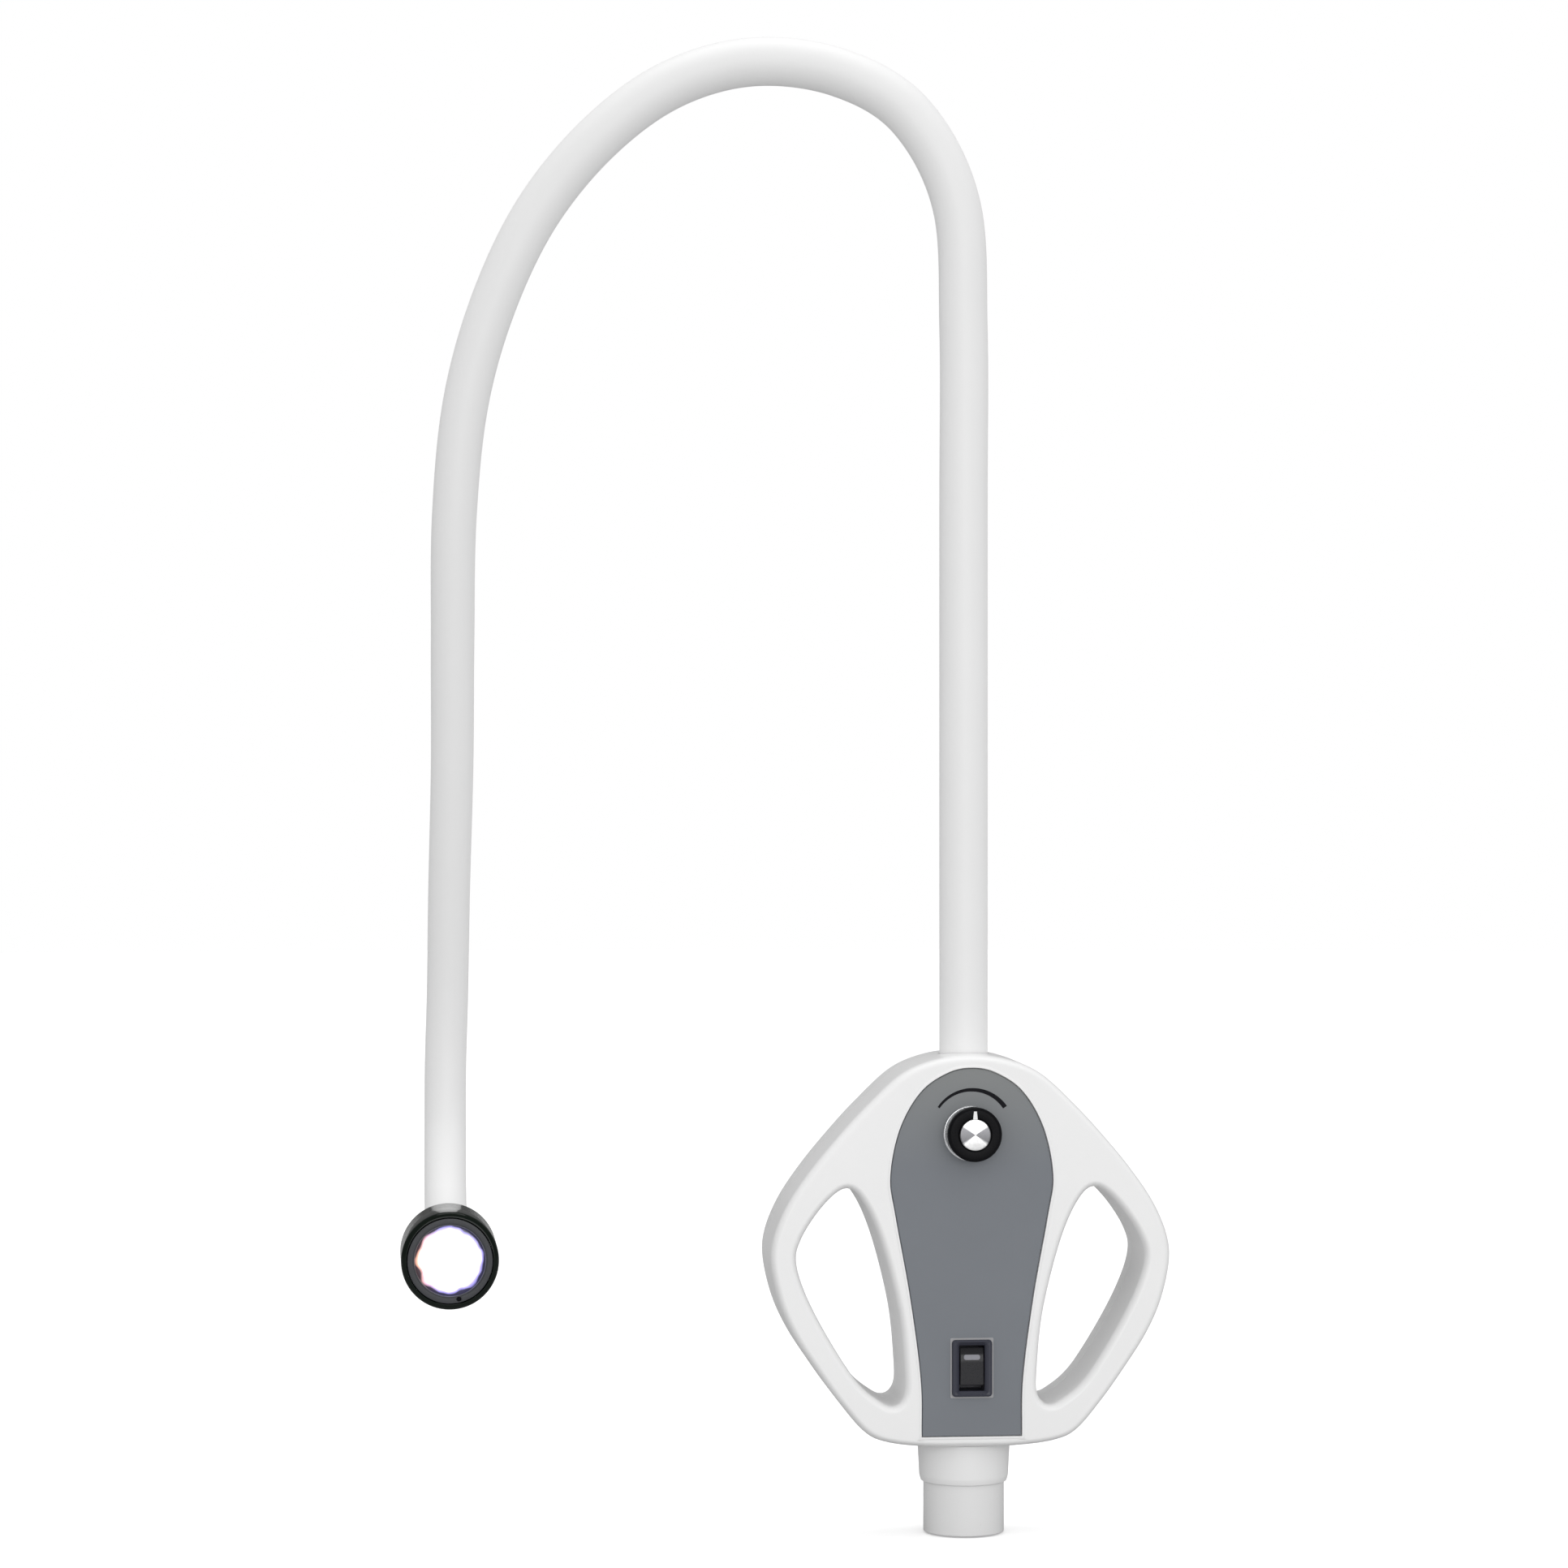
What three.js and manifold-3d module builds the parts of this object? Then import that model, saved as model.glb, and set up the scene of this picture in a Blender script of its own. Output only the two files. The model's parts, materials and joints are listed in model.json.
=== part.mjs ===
// Examination lamp: an LED head on a white gooseneck, rising from a control housing with two finger
// grips that is carried by a short length of post. Millimetres, +Z up. The origin is the centre of the
// post's lower end, and the control panel and the lens face -Y.
import * as THREE from 'three';
import { mergeVertices } from 'three/addons/utils/BufferGeometryUtils.js';
import Module from 'manifold-3d';

const wasm = await Module();
wasm.setup();

// ---- driving dimensions ----
const GAP = 0.3; // clearance between neighbouring pieces

const POST = { radius: 15.875, wall: 1.6, top: 50 };
const COLLAR = { foot: 20, head: 35.7, top: 45.7, footRadius: 17.5, headRadius: 18.2, bore: 16.1, spigotRadius: 16.9 };

// the housing's front and back faces, its parting plane and its wall
const HOUSING = { front: -24, back: 20, parting: 6, wall: 2.6, frontWall: 4.5, round: 3.4, roundDepth: 6 };
// right half of the housing's outline from the neck round to the post, as [x, z]
const HOUSING_OUTLINE = [
  [0, 188.6], [14, 187], [27.5, 181.3], [41.5, 168.5], [53.2, 155.8], [63.7, 143], [72.2, 130.3], [77.4, 117.7],
  [78.2, 107], [74.8, 92], [69, 79.2], [60.8, 66.5], [51.8, 54], [41.8, 42.4], [33, 38.2], [18, 36.3], [0, 36],
];
// the right finger opening, clockwise from its top
const GRIP_OUTLINE = [
  [48.5, 137], [57.2, 131], [66.3, 117.6], [68, 106.5], [60.8, 88], [46, 63.6], [35.5, 54],
  [29.8, 52.4], [26.2, 56.5], [26, 66], [28.3, 88.3], [34.8, 114.4], [41.6, 130.6],
];
// right half of the keyhole-shaped control panel, from its top down to its square foot
const PANEL_OUTLINE = [
  [0, 183.5], [9.3, 181.6], [19.8, 174.3], [28, 160], [31.7, 141.5], [29.6, 126], [23.9, 94.5], [19.8, 63], [19.4, 40.6],
];
const PANEL = { front: -23.6, thickness: 1.6, ledge: 3 };

const SCREW_PLACES = [[-27, 168], [27, 168], [-37, 46], [37, 46]];
const SCREW = { radius: 1.2, headRadius: 2.8, boss: 4.2, tip: -7, seat: 16.8 };

const KNOB = { z: 158.4, foot: -24.8, face: -33.6, footRadius: 10.3, faceRadius: 10.2 };
const SHAFT_RADIUS = 3;
const ROCKER = { z: 67, bezelWidth: 15.7, bezelHeight: 22.1, wellWidth: 10, wellHeight: 17.8, pivotY: -19.6, tilt: 10 };

// the spine ties the neck to the post inside the housing
const SPINE = { front: 13, back: 16, halfWidth: 17, lower: 50.3, upper: 172, thickness: 3 };
const LEAD_RADIUS = 2.2;
const SUPPLY_X = 9.3; // the supply lead rises beside the post bolt

// the neck's line, from inside the housing, up, over and down to the middle of the head
const NECK_LINE = [
  [0, 0, 166], [0, 0, 246], [0, 0, 326], [0, 0, 406], [0, 0, 473], [-3, 0, 523], [-21, 1, 557.5],
  [-49, 3, 574.3], [-83, 5, 578.3], [-115, 8, 569.3], [-143, 12, 549], [-167, 17, 520], [-184, 22, 485],
  [-195, 28, 446], [-199.5, 35, 401], [-200, 45, 351], [-200, 55.5, 301], [-201, 66, 251], [-201.5, 73, 210],
  [-202.3, 74.5, 180], [-202.5, 70.5, 152.8], [-202.7, 56.5, 130.6], [-202.7, 37, 117.6], [-202.7, 14, 113],
  [-202.7, -10, 113], [-202.7, -34, 113],
];
// where the neck bends, as lengths along its line
const BENDS = [70, 165, 260, 355, 440, 525, 625, 730, 835, 935];
const NECK = { sleeveStart: 15.5, sleeveEnd: 1022, coreStart: 1, coreEnd: 1035, headRadius: 8.4, baseRadius: 9.525 };
const SLEEVE_BORE = 7.6;
const CORE = { radius: 6.9, bore: 5.5, spigotRadius: 4, spigotBore: 3, web: 4, reach: 3 };
const STATIONS = { curveStart: 300, spacing: 20, margin: 5 };
const BEND_GAP = { sleeve: 2, core: 1.5 }; // half of each gap at a bend

// the head lies along Y on this axis, lens to the front
const HEAD = { x: -202.7, z: 113, front: -45, radius: 18.6, bore: 16.9, mouth: 16.5 };

// ---- finishes ----
const FINISH = {
  whitePaint: [0xe6e7e8, 0.35, 0.1],
  whiteMoulding: [0xeeeeec, 0.45, 0],
  sleeve: [0xf2f2f0, 0.5, 0],
  panelGrey: [0x6f7680, 0.55, 0],
  black: [0x0d0d0f, 0.3, 0],
  satinBlack: [0x2b2d33, 0.5, 0.2],
  steel: [0xb9bcc0, 0.3, 1],
  aluminium: [0xd4d6d8, 0.35, 1],
  brass: [0xc8a24a, 0.35, 1],
  rubber: [0x1c1c1c, 0.8, 0],
  nylon: [0x8c8f94, 0.6, 0],
  cable: [0xd9d9d6, 0.6, 0],
  board: [0x1f5b3a, 0.5, 0],
  emitter: [0xf3e08a, 0.4, 0],
  mirror: [0xe4e8ee, 0.1, 1],
  lens: [0xf6f9ff, 0.05, 0],
};

// ---- geometry helpers ----

/** The geometry welded, without collapsed triangles, and with its faces pointing out. */
function tidied(geometry) {
  const bare = geometry.index ? geometry.toNonIndexed() : geometry.clone();
  bare.deleteAttribute('normal');
  bare.deleteAttribute('uv');
  const welded = mergeVertices(bare, 1e-4);
  const index = welded.index.array;
  const place = welded.attributes.position;
  const corner = [new THREE.Vector3(), new THREE.Vector3(), new THREE.Vector3()];
  const kept = [];
  let volume = 0;
  for (let i = 0; i < index.length; i += 3) {
    const [a, b, c] = [index[i], index[i + 1], index[i + 2]];
    if (a === b || b === c || c === a) continue;
    kept.push(a, b, c);
    [a, b, c].forEach((vertex, k) => corner[k].fromBufferAttribute(place, vertex));
    volume += corner[0].dot(corner[1].cross(corner[2]));
  }
  if (volume < 0) {
    for (let i = 0; i < kept.length; i += 3) [kept[i], kept[i + 1]] = [kept[i + 1], kept[i]];
  }
  welded.setIndex(kept);
  return welded;
}

function toSolid(geometry) {
  const closed = tidied(geometry);
  return new wasm.Manifold(new wasm.Mesh({
    numProp: 3,
    vertProperties: new Float32Array(closed.attributes.position.array),
    triVerts: new Uint32Array(closed.index.array),
  }));
}

function toGeometry(solid) {
  const mesh = solid.getMesh();
  const geometry = new THREE.BufferGeometry();
  geometry.setAttribute('position', new THREE.Float32BufferAttribute(mesh.vertProperties, 3));
  geometry.setIndex([...mesh.triVerts]);
  return geometry;
}

/** base with every addition joined to it, and then every cutter taken out of it. */
function combined(base, additions, cutters) {
  let solid = toSolid(base);
  for (const addition of additions) solid = solid.add(toSolid(addition));
  for (const cutter of cutters) solid = solid.subtract(toSolid(cutter));
  return toGeometry(solid);
}

const clipped = (base, keep) => toGeometry(toSolid(base).intersect(toSolid(keep)));

/** The [radius, place] pairs of a section, closed and revolved about the Y axis. */
function revolved(section, sides) {
  const points = [...section, section[0]].map(([radius, along]) => new THREE.Vector2(radius, along));
  return new THREE.LatheGeometry(points, sides);
}

/** Turned about an upright axis at x, y. The section's second number is z. */
function upright(section, sides = 32, x = 0, y = 0) {
  return tidied(revolved(section, sides).rotateX(Math.PI / 2).translate(x, y, 0));
}

/** Turned about an axis along Y at x, z. The section's second number is y. */
function facing(section, sides = 32, x = 0, z = 0) {
  return tidied(revolved(section, sides).translate(x, 0, z));
}

function block(xs, ys, zs) {
  const size = [xs, ys, zs].map(([low, high]) => high - low);
  const middle = [xs, ys, zs].map(([low, high]) => (low + high) / 2);
  return new THREE.BoxGeometry(...size).translate(...middle);
}

/** A hexagonal nut about an axis through 0, place, made by upright or facing. */
function nut(turner, radius, bore, from, to, place) {
  const hexagon = turner([[0, from], [radius, from], [radius, to], [0, to]], 6, 0, place);
  const hole = turner([[0, from - 1], [bore, from - 1], [bore, to + 1], [0, to + 1]], 24, 0, place);
  return combined(hexagon, [], [hole]);
}

/** A closed outline moved outwards by amount, with its corners mitred. */
function grown(outline, amount) {
  const outwards = THREE.ShapeUtils.isClockWise(outline) ? -1 : 1;
  return outline.map((point, i) => {
    const before = outline[(i + outline.length - 1) % outline.length];
    const after = outline[(i + 1) % outline.length];
    const [first, second] = [[before, point], [point, after]].map(([from, to]) => {
      const along = new THREE.Vector2().subVectors(to, from).normalize();
      return new THREE.Vector2(along.y, -along.x).multiplyScalar(outwards);
    });
    const mitre = first.clone().add(second).divideScalar(1 + first.dot(second));
    return point.clone().addScaledVector(mitre, amount);
  });
}

/** count points along a smooth line through [x, z] pairs. */
function smooth(pairs, closed, count) {
  const through = pairs.map(([x, z]) => new THREE.Vector3(x, z, 0));
  const line = new THREE.CatmullRomCurve3(through, closed, 'catmullrom', 0.5);
  const points = line.getSpacedPoints(count).map((p) => new THREE.Vector2(p.x, p.y));
  if (closed) points.pop();
  return points;
}

const mirrored = (pairs) => pairs.map(([x, z]) => [-x, z]).reverse();

const anticlockwise = (outline) => (THREE.ShapeUtils.isClockWise(outline) ? outline.toReversed() : outline);

/** A plate in the XZ plane between y = front and y = back, with its edges rounded over. */
function plate(outline, holes, front, back, round = 0, roundDepth = round, roundSteps = 2) {
  const shape = new THREE.Shape(anticlockwise(grown(outline, -round)));
  shape.holes = holes.map((hole) => new THREE.Path(grown(hole, round)));
  const geometry = new THREE.ExtrudeGeometry(shape, {
    depth: back - front - 2 * roundDepth,
    bevelEnabled: round > 0,
    bevelSize: round,
    bevelThickness: roundDepth,
    bevelSegments: roundSteps,
  });
  return tidied(geometry.rotateX(Math.PI / 2).translate(0, back - roundDepth, 0));
}

/** A rectangle's outline with rounded corners, as points in x and z. */
function roundedRectangle(width, height, radius, z) {
  const corners = [[1, 1, 0], [-1, 1, 1], [-1, -1, 2], [1, -1, 3]];
  const steps = 3;
  return corners.flatMap(([sideX, sideZ, quarter]) => Array.from({ length: steps + 1 }, (_, i) => {
    const angle = (quarter + i / steps) * Math.PI / 2;
    return new THREE.Vector2(
      sideX * (width / 2 - radius) + radius * Math.cos(angle),
      z + sideZ * (height / 2 - radius) + radius * Math.sin(angle),
    );
  }));
}

const group = new THREE.Group();

function addPiece(name, geometry, finish) {
  const [color, roughness, metalness] = FINISH[finish];
  const material = new THREE.MeshStandardMaterial({ color, roughness, metalness });
  if (finish === 'lens') material.transparent = true;
  const mesh = new THREE.Mesh(tidied(geometry), material);
  mesh.geometry.computeVertexNormals();
  mesh.name = name;
  group.add(mesh);
}

// ---- post ----

function addPost() {
  const bore = POST.radius - POST.wall;
  const tube = [[bore, 0], [POST.radius, 0], [POST.radius, POST.top], [bore, POST.top]];
  addPiece('post_tube', upright(tube), 'whitePaint');

  const { foot, head, top, footRadius, headRadius, spigotRadius } = COLLAR;
  addPiece('post_collar', upright([
    [COLLAR.bore, foot], [COLLAR.bore + 0.3, foot], [footRadius, foot + 2.4], [headRadius, head],
    [spigotRadius, head], [spigotRadius, top], [COLLAR.bore, top],
  ]), 'whiteMoulding');

  // a nylon plug closes the foot of the tube, flush with its end, and holds the supply lead's end
  const plugRadius = bore - GAP;
  const leadHole = upright([[0, -1], [LEAD_RADIUS + 0.7, -1], [LEAD_RADIUS + 0.7, 60], [0, 60]], 12, SUPPLY_X);
  const footPlug = upright([[0, 0], [plugRadius, 0], [plugRadius, 16], [0, 16]]);
  addPiece('foot_plug', combined(footPlug, [], [leadHole]), 'nylon');

  const boltHole = upright([[0, 30], [3.2, 30], [3.2, 60], [0, 60]], 16);
  const postPlug = upright([[0, 36], [plugRadius, 36], [plugRadius, POST.top - 0.5], [0, POST.top - 0.5]]);
  addPiece('post_plug', combined(postPlug, [], [boltHole, leadHole]), 'aluminium');

  const boltSeat = SPINE.lower + SPINE.thickness + GAP;
  addPiece('post_bolt', upright([
    [0, 37], [2.9, 37], [2.9, boltSeat], [5.3, boltSeat], [5.3, boltSeat + 3], [4.6, boltSeat + 3.6],
    [0, boltSeat + 3.6],
  ], 16), 'steel');
}

// ---- spine, leads and driver ----

/** A round lead through [x, y, z] points. */
function lead(points, radius) {
  const path = new THREE.CatmullRomCurve3(points.map((p) => new THREE.Vector3(...p)));
  const section = new THREE.Shape().absarc(0, 0, radius, 0, 2 * Math.PI);
  return new THREE.ExtrudeGeometry(section, {
    steps: points.length * 2,
    curveSegments: 4,
    bevelEnabled: false,
    extrudePath: path,
  });
}

function addInside() {
  const { front, back, halfWidth, lower, upper, thickness } = SPINE;
  // the bent strip's side view, as [y, z], drawn out along X
  const strip = new THREE.Shape([
    [back, lower], [back, upper + thickness], [-13, upper + thickness], [-13, upper], [front, upper],
    [front, lower + thickness], [-13, lower + thickness], [-13, lower],
  ].map(([y, z]) => new THREE.Vector2(y, z)));
  const bent = new THREE.ExtrudeGeometry(strip, { depth: 2 * halfWidth, bevelEnabled: false });
  bent.translate(0, 0, -halfWidth).applyMatrix4(new THREE.Matrix4().makeBasis(
    new THREE.Vector3(0, 1, 0), new THREE.Vector3(0, 0, 1), new THREE.Vector3(1, 0, 0),
  ));
  const boardPegs = [[-15, 89], [15, 89], [-15, 137], [15, 137]].map(([x, z]) => (
    facing([[0, 9.9], [2.2, 9.9], [2.2, front + 1], [0, front + 1]], 8, x, z)));
  const holes = [
    upright([[0, upper - 5], [9.2, upper - 5], [9.2, upper + 10], [0, upper + 10]], 24),
    upright([[0, lower - 5], [3.3, lower - 5], [3.3, lower + 10], [0, lower + 10]], 16),
    upright([[0, lower - 5], [3.2, lower - 5], [3.2, lower + 10], [0, lower + 10]], 12, SUPPLY_X),
  ];
  addPiece('spine_bracket', combined(bent, boardPegs, holes), 'steel');

  const driver = { front: 8, back: 9.6 };
  addPiece('driver_board', block([-20, 20], [driver.front, driver.back], [84, 142]), 'board');
  addPiece('driver_coil', facing([
    [2.5, driver.front - GAP], [7, driver.front - GAP], [7, -1], [6, -2], [3.5, -2], [2.5, -1],
  ], 20, -9, 104), 'brass');
  addPiece('supply_lead', lead([
    [SUPPLY_X, 0, 2], [SUPPLY_X, 0, 30], [SUPPLY_X, 0, 60], [11, 0, 78], [12, 0.5, 90], [12, 4, 96], [12, 7.2, 96.5],
  ], LEAD_RADIUS), 'cable');
  addPiece('lamp_lead', lead([
    [-9, 7.2, 123.5], [-9, 4, 124], [-8.5, 1.5, 130], [-6, 1, 144], [-1, 0, 158], [0, 0, 172], [0, 0, 190], [0, 0, 215],
  ], LEAD_RADIUS), 'cable');
}

// ---- housing ----

const housingOutline = smooth([...HOUSING_OUTLINE, ...mirrored(HOUSING_OUTLINE.slice(1, -1))], true, 46);
const rightGrip = smooth(GRIP_OUTLINE, true, 22);
const leftGrip = rightGrip.map((p) => new THREE.Vector2(-p.x, p.y)).reverse();
const panelOutline = smooth([...mirrored(PANEL_OUTLINE.slice(1)), ...PANEL_OUTLINE], false, 30);

function addHousing() {
  const { front, back, parting, wall, frontWall, round, roundDepth } = HOUSING;
  const outer = plate(housingOutline, [leftGrip, rightGrip], front, back, round, roundDepth);
  const cavity = plate(
    grown(housingOutline, -wall), [leftGrip, rightGrip].map((grip) => grown(grip, wall)),
    front + frontWall, back - wall, 2, 3, 1,
  );
  const neckHole = upright([[0, 176], [9.9, 176], [9.9, 196], [0, 196]], 32);
  const postHole = upright([[0, 26], [17.2, 26], [17.2, 42], [0, 42]], 32);
  const bosses = SCREW_PLACES.map(([x, z]) => (
    facing([[0, front + 2], [SCREW.boss, front + 2], [SCREW.boss, back - 1], [0, back - 1]], 12, x, z)));
  const body = combined(outer, [], [cavity, neckHole, postHole]);

  // the panel lies in a rebate, over an opening through the front wall
  const rebate = plate(grown(panelOutline, GAP), [], front - 5, PANEL.front + PANEL.thickness + GAP);
  const opening = plate(grown(panelOutline, -PANEL.ledge), [], front - 5, front + frontWall + 2);
  const pilots = SCREW_PLACES.map(([x, z]) => (
    facing([[0, -9], [SCREW.radius + 0.15, -9], [SCREW.radius + 0.15, 12], [0, 12]], 10, x, z)));
  const all = [-100, 100];
  const frontHalf = block(all, [-50, parting - GAP / 2], [0, 220]);
  const rearHalf = block(all, [parting + GAP / 2, 50], [0, 220]);
  const frontShell = clipped(combined(body, bosses, [rebate, opening, ...pilots]), frontHalf);
  addPiece('housing_front', frontShell, 'whiteMoulding');

  const clearances = SCREW_PLACES.map(([x, z]) => facing([
    [0, 0], [SCREW.radius + 0.5, 0], [SCREW.radius + 0.5, SCREW.seat], [SCREW.headRadius + 0.4, SCREW.seat],
    [SCREW.headRadius + 0.4, 30], [0, 30],
  ], 12, x, z));
  addPiece('housing_rear', clipped(combined(body, bosses, clearances), rearHalf), 'whiteMoulding');

  SCREW_PLACES.forEach(([x, z], i) => {
    const underHead = SCREW.seat + 0.1;
    addPiece(`housing_screw_${i + 1}`, facing([
      [0, SCREW.tip], [SCREW.radius, SCREW.tip + 1], [SCREW.radius, underHead], [SCREW.headRadius, underHead],
      [SCREW.headRadius, underHead + 1.4], [2, underHead + 2], [0, underHead + 2],
    ], 12, x, z), 'steel');
  });
}

// ---- control panel ----

function addPanel() {
  const { front, thickness } = PANEL;
  const rockerHole = roundedRectangle(14.1, 20.1, 0.5, ROCKER.z);
  const sheet = plate(panelOutline, [], front, front + thickness);
  const knobHole = facing([[0, front - 2], [5, front - 2], [5, front + 4], [0, front + 4]], 24, 0, KNOB.z);
  const cutOut = plate(rockerHole, [], front - 2, front + 4);
  addPiece('control_panel', combined(sheet, [], [knobHole, cutOut]), 'panelGrey');

  const potFront = front + thickness + GAP;
  addPiece('dimmer_pot', facing([
    [0, -10.5], [8, -10.5], [8, potFront], [4.6, potFront], [4.6, -26], [SHAFT_RADIUS + 0.2, -26],
    [SHAFT_RADIUS + 0.2, -13.5], [0, -13.5],
  ], 24, 0, KNOB.z), 'steel');
  addPiece('pot_nut', nut(facing, 7, 4.9, -25.6, front - GAP, KNOB.z), 'brass');
  addPiece('knob_ring', facing([
    [8.8, front - GAP], [10.9, front - GAP], [10.9, front - 0.7], [10.6, front - 0.9], [8.8, front - 0.9],
  ], 28, 0, KNOB.z), 'aluminium');
}

function addKnob() {
  const { foot, face, footRadius, faceRadius, z } = KNOB;
  const discSeat = face + 0.8;
  addPiece('dimmer_knob', facing([
    [8.3, foot], [footRadius, foot], [faceRadius + 0.4, face + 0.8], [faceRadius - 0.4, face], [6.1, face],
    [6.1, discSeat], [0, discSeat], [0, -31.9], [SHAFT_RADIUS + 0.2, -31.9], [SHAFT_RADIUS + 0.2, -28.5],
    [8.3, -28.5],
  ], 28, 0, z), 'black');
  addPiece('knob_disc', facing([
    [0, discSeat - GAP], [5.8, discSeat - GAP], [5.8, face - 0.2], [5.5, face - 0.4], [0, face - 0.4],
  ], 24, 0, z), 'aluminium');
  addPiece('pot_shaft', facing([
    [0, -31.6], [SHAFT_RADIUS, -31.6], [SHAFT_RADIUS, -14], [0, -14],
  ], 24, 0, z), 'steel');
}

function addRocker() {
  const { z, bezelWidth, bezelHeight, wellWidth, wellHeight, pivotY, tilt } = ROCKER;
  const seat = PANEL.front - GAP;
  const bezel = plate(roundedRectangle(bezelWidth, bezelHeight, 1.4, z), [], seat - 1.4, seat, 0.5);
  const body = block([-6.8, 6.8], [seat - 0.5, -8], [z - 9.8, z + 9.8]);
  const well = block([-wellWidth / 2, wellWidth / 2], [-40, -13.5], [z - wellHeight / 2, z + wellHeight / 2]);
  addPiece('rocker_frame', combined(bezel, [body], [well]), 'black');

  // the rocker's side view about its pivot, as [towards the front, up], symmetric top to bottom
  const half = [[5.2, 7.4], [4.6, 4], [4.2, 0]];
  const behind = [[-3, 0], [-2.4, 3], [1, 6.9]];
  const side = [
    ...half, ...half.slice(0, 2).reverse().map(([f, u]) => [f, -u]),
    ...behind.slice(1).reverse().map(([f, u]) => [f, -u]), ...behind,
  ].map(([f, u]) => new THREE.Vector2(f, u));
  const width = wellWidth - 0.6;
  const rocker = new THREE.ExtrudeGeometry(new THREE.Shape(side), { depth: width, bevelEnabled: false });
  // the side view's first number runs towards -Y and its depth runs along X
  rocker.translate(0, 0, -width / 2).applyMatrix4(new THREE.Matrix4().makeBasis(
    new THREE.Vector3(0, -1, 0), new THREE.Vector3(0, 0, 1), new THREE.Vector3(1, 0, 0),
  ));
  rocker.rotateX(-THREE.MathUtils.degToRad(tilt)).translate(0, pivotY, z);
  addPiece('rocker', rocker, 'black');
}

// ---- neck ----

const neckLine = new THREE.CatmullRomCurve3(
  NECK_LINE.map((p) => new THREE.Vector3(...p)), false, 'catmullrom', 0.5,
);
neckLine.arcLengthDivisions = 4000;
const neckLength = neckLine.getLength();
const FRAME_COUNT = 1000;
const neckFrames = neckLine.computeFrenetFrames(FRAME_COUNT, false);

/** A section of [radius, length along the neck] pairs, revolved and then bent along the neck's line. */
function alongNeck(section, sides) {
  const geometry = revolved(section, sides);
  const place = geometry.attributes.position;
  for (let i = 0; i < place.count; i += 1) {
    const share = place.getY(i) / neckLength;
    const frame = Math.round(share * FRAME_COUNT);
    const point = neckLine.getPointAt(share)
      .addScaledVector(neckFrames.normals[frame], place.getX(i))
      .addScaledVector(neckFrames.binormals[frame], place.getZ(i));
    place.setXYZ(i, point.x, point.y, point.z);
  }
  return geometry;
}

/** Both ends of a stretch, and between them each of the evenly spaced stations where the neck curves. */
function stations(from, to) {
  const { curveStart, spacing, margin } = STATIONS;
  const count = Math.ceil((neckLength - curveStart) / spacing);
  const every = Array.from({ length: count }, (_, i) => curveStart + i * spacing);
  return [from, ...every.filter((s) => s > from + margin && s < to - margin), to];
}

/** A plain length of pipe along the neck. */
function pipe(from, to, radius, bore) {
  const along = stations(from, to);
  return [...along.map((s) => [bore, s]).reverse(), ...along.map((s) => [radius, s])];
}

function addNeck() {
  const ends = (gap, first, last) => [first, ...BENDS, last].map((at, i, all) => ({
    from: at + (i > 0 ? gap : 0),
    to: (all[i + 1] ?? 0) - (i < all.length - 2 ? gap : 0),
  })).slice(0, -1);

  ends(BEND_GAP.sleeve, NECK.sleeveStart, NECK.sleeveEnd).forEach(({ from, to }, i) => {
    const radius = THREE.MathUtils.lerp(NECK.baseRadius, NECK.headRadius, THREE.MathUtils.smoothstep(from, 450, 900));
    addPiece(`neck_sleeve_${i + 1}`, alongNeck(pipe(from, to, radius, SLEEVE_BORE), 12), 'sleeve');
  });

  // each length of hose ends in a narrower spigot that hooks into the next one
  const cores = ends(BEND_GAP.core, NECK.coreStart, NECK.coreEnd);
  cores.forEach(({ from, to }, i) => {
    const { radius, bore, spigotRadius, spigotBore, web, reach } = CORE;
    const wallEnd = i < cores.length - 1 ? to - web : to;
    const wall = pipe(from, wallEnd, radius, bore);
    const tip = to + BEND_GAP.core + reach;
    const spigot = [[radius, to], [spigotRadius, to], [spigotRadius, tip], [spigotBore, tip], [spigotBore, wallEnd]];
    const section = i < cores.length - 1 ? [...wall, ...spigot] : wall;
    addPiece(`neck_core_${i + 1}`, alongNeck(section, 8), 'steel');
  });

  // the ferrule holds the hose in the spine's upper flange, with a nut below the flange
  const flange = SPINE.upper + SPINE.thickness + GAP;
  addPiece('neck_ferrule', upright([
    [7.3, 165.6], [8.8, 165.6], [8.8, flange], [12, flange], [12, flange + 3.4], [9.6, flange + 5.4],
    [7.3, flange + 5.4],
  ], 24), 'steel');
  addPiece('neck_nut', nut(upright, 12, 9.1, 166.7, SPINE.upper - GAP, 0), 'steel');
}

// ---- head ----

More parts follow.
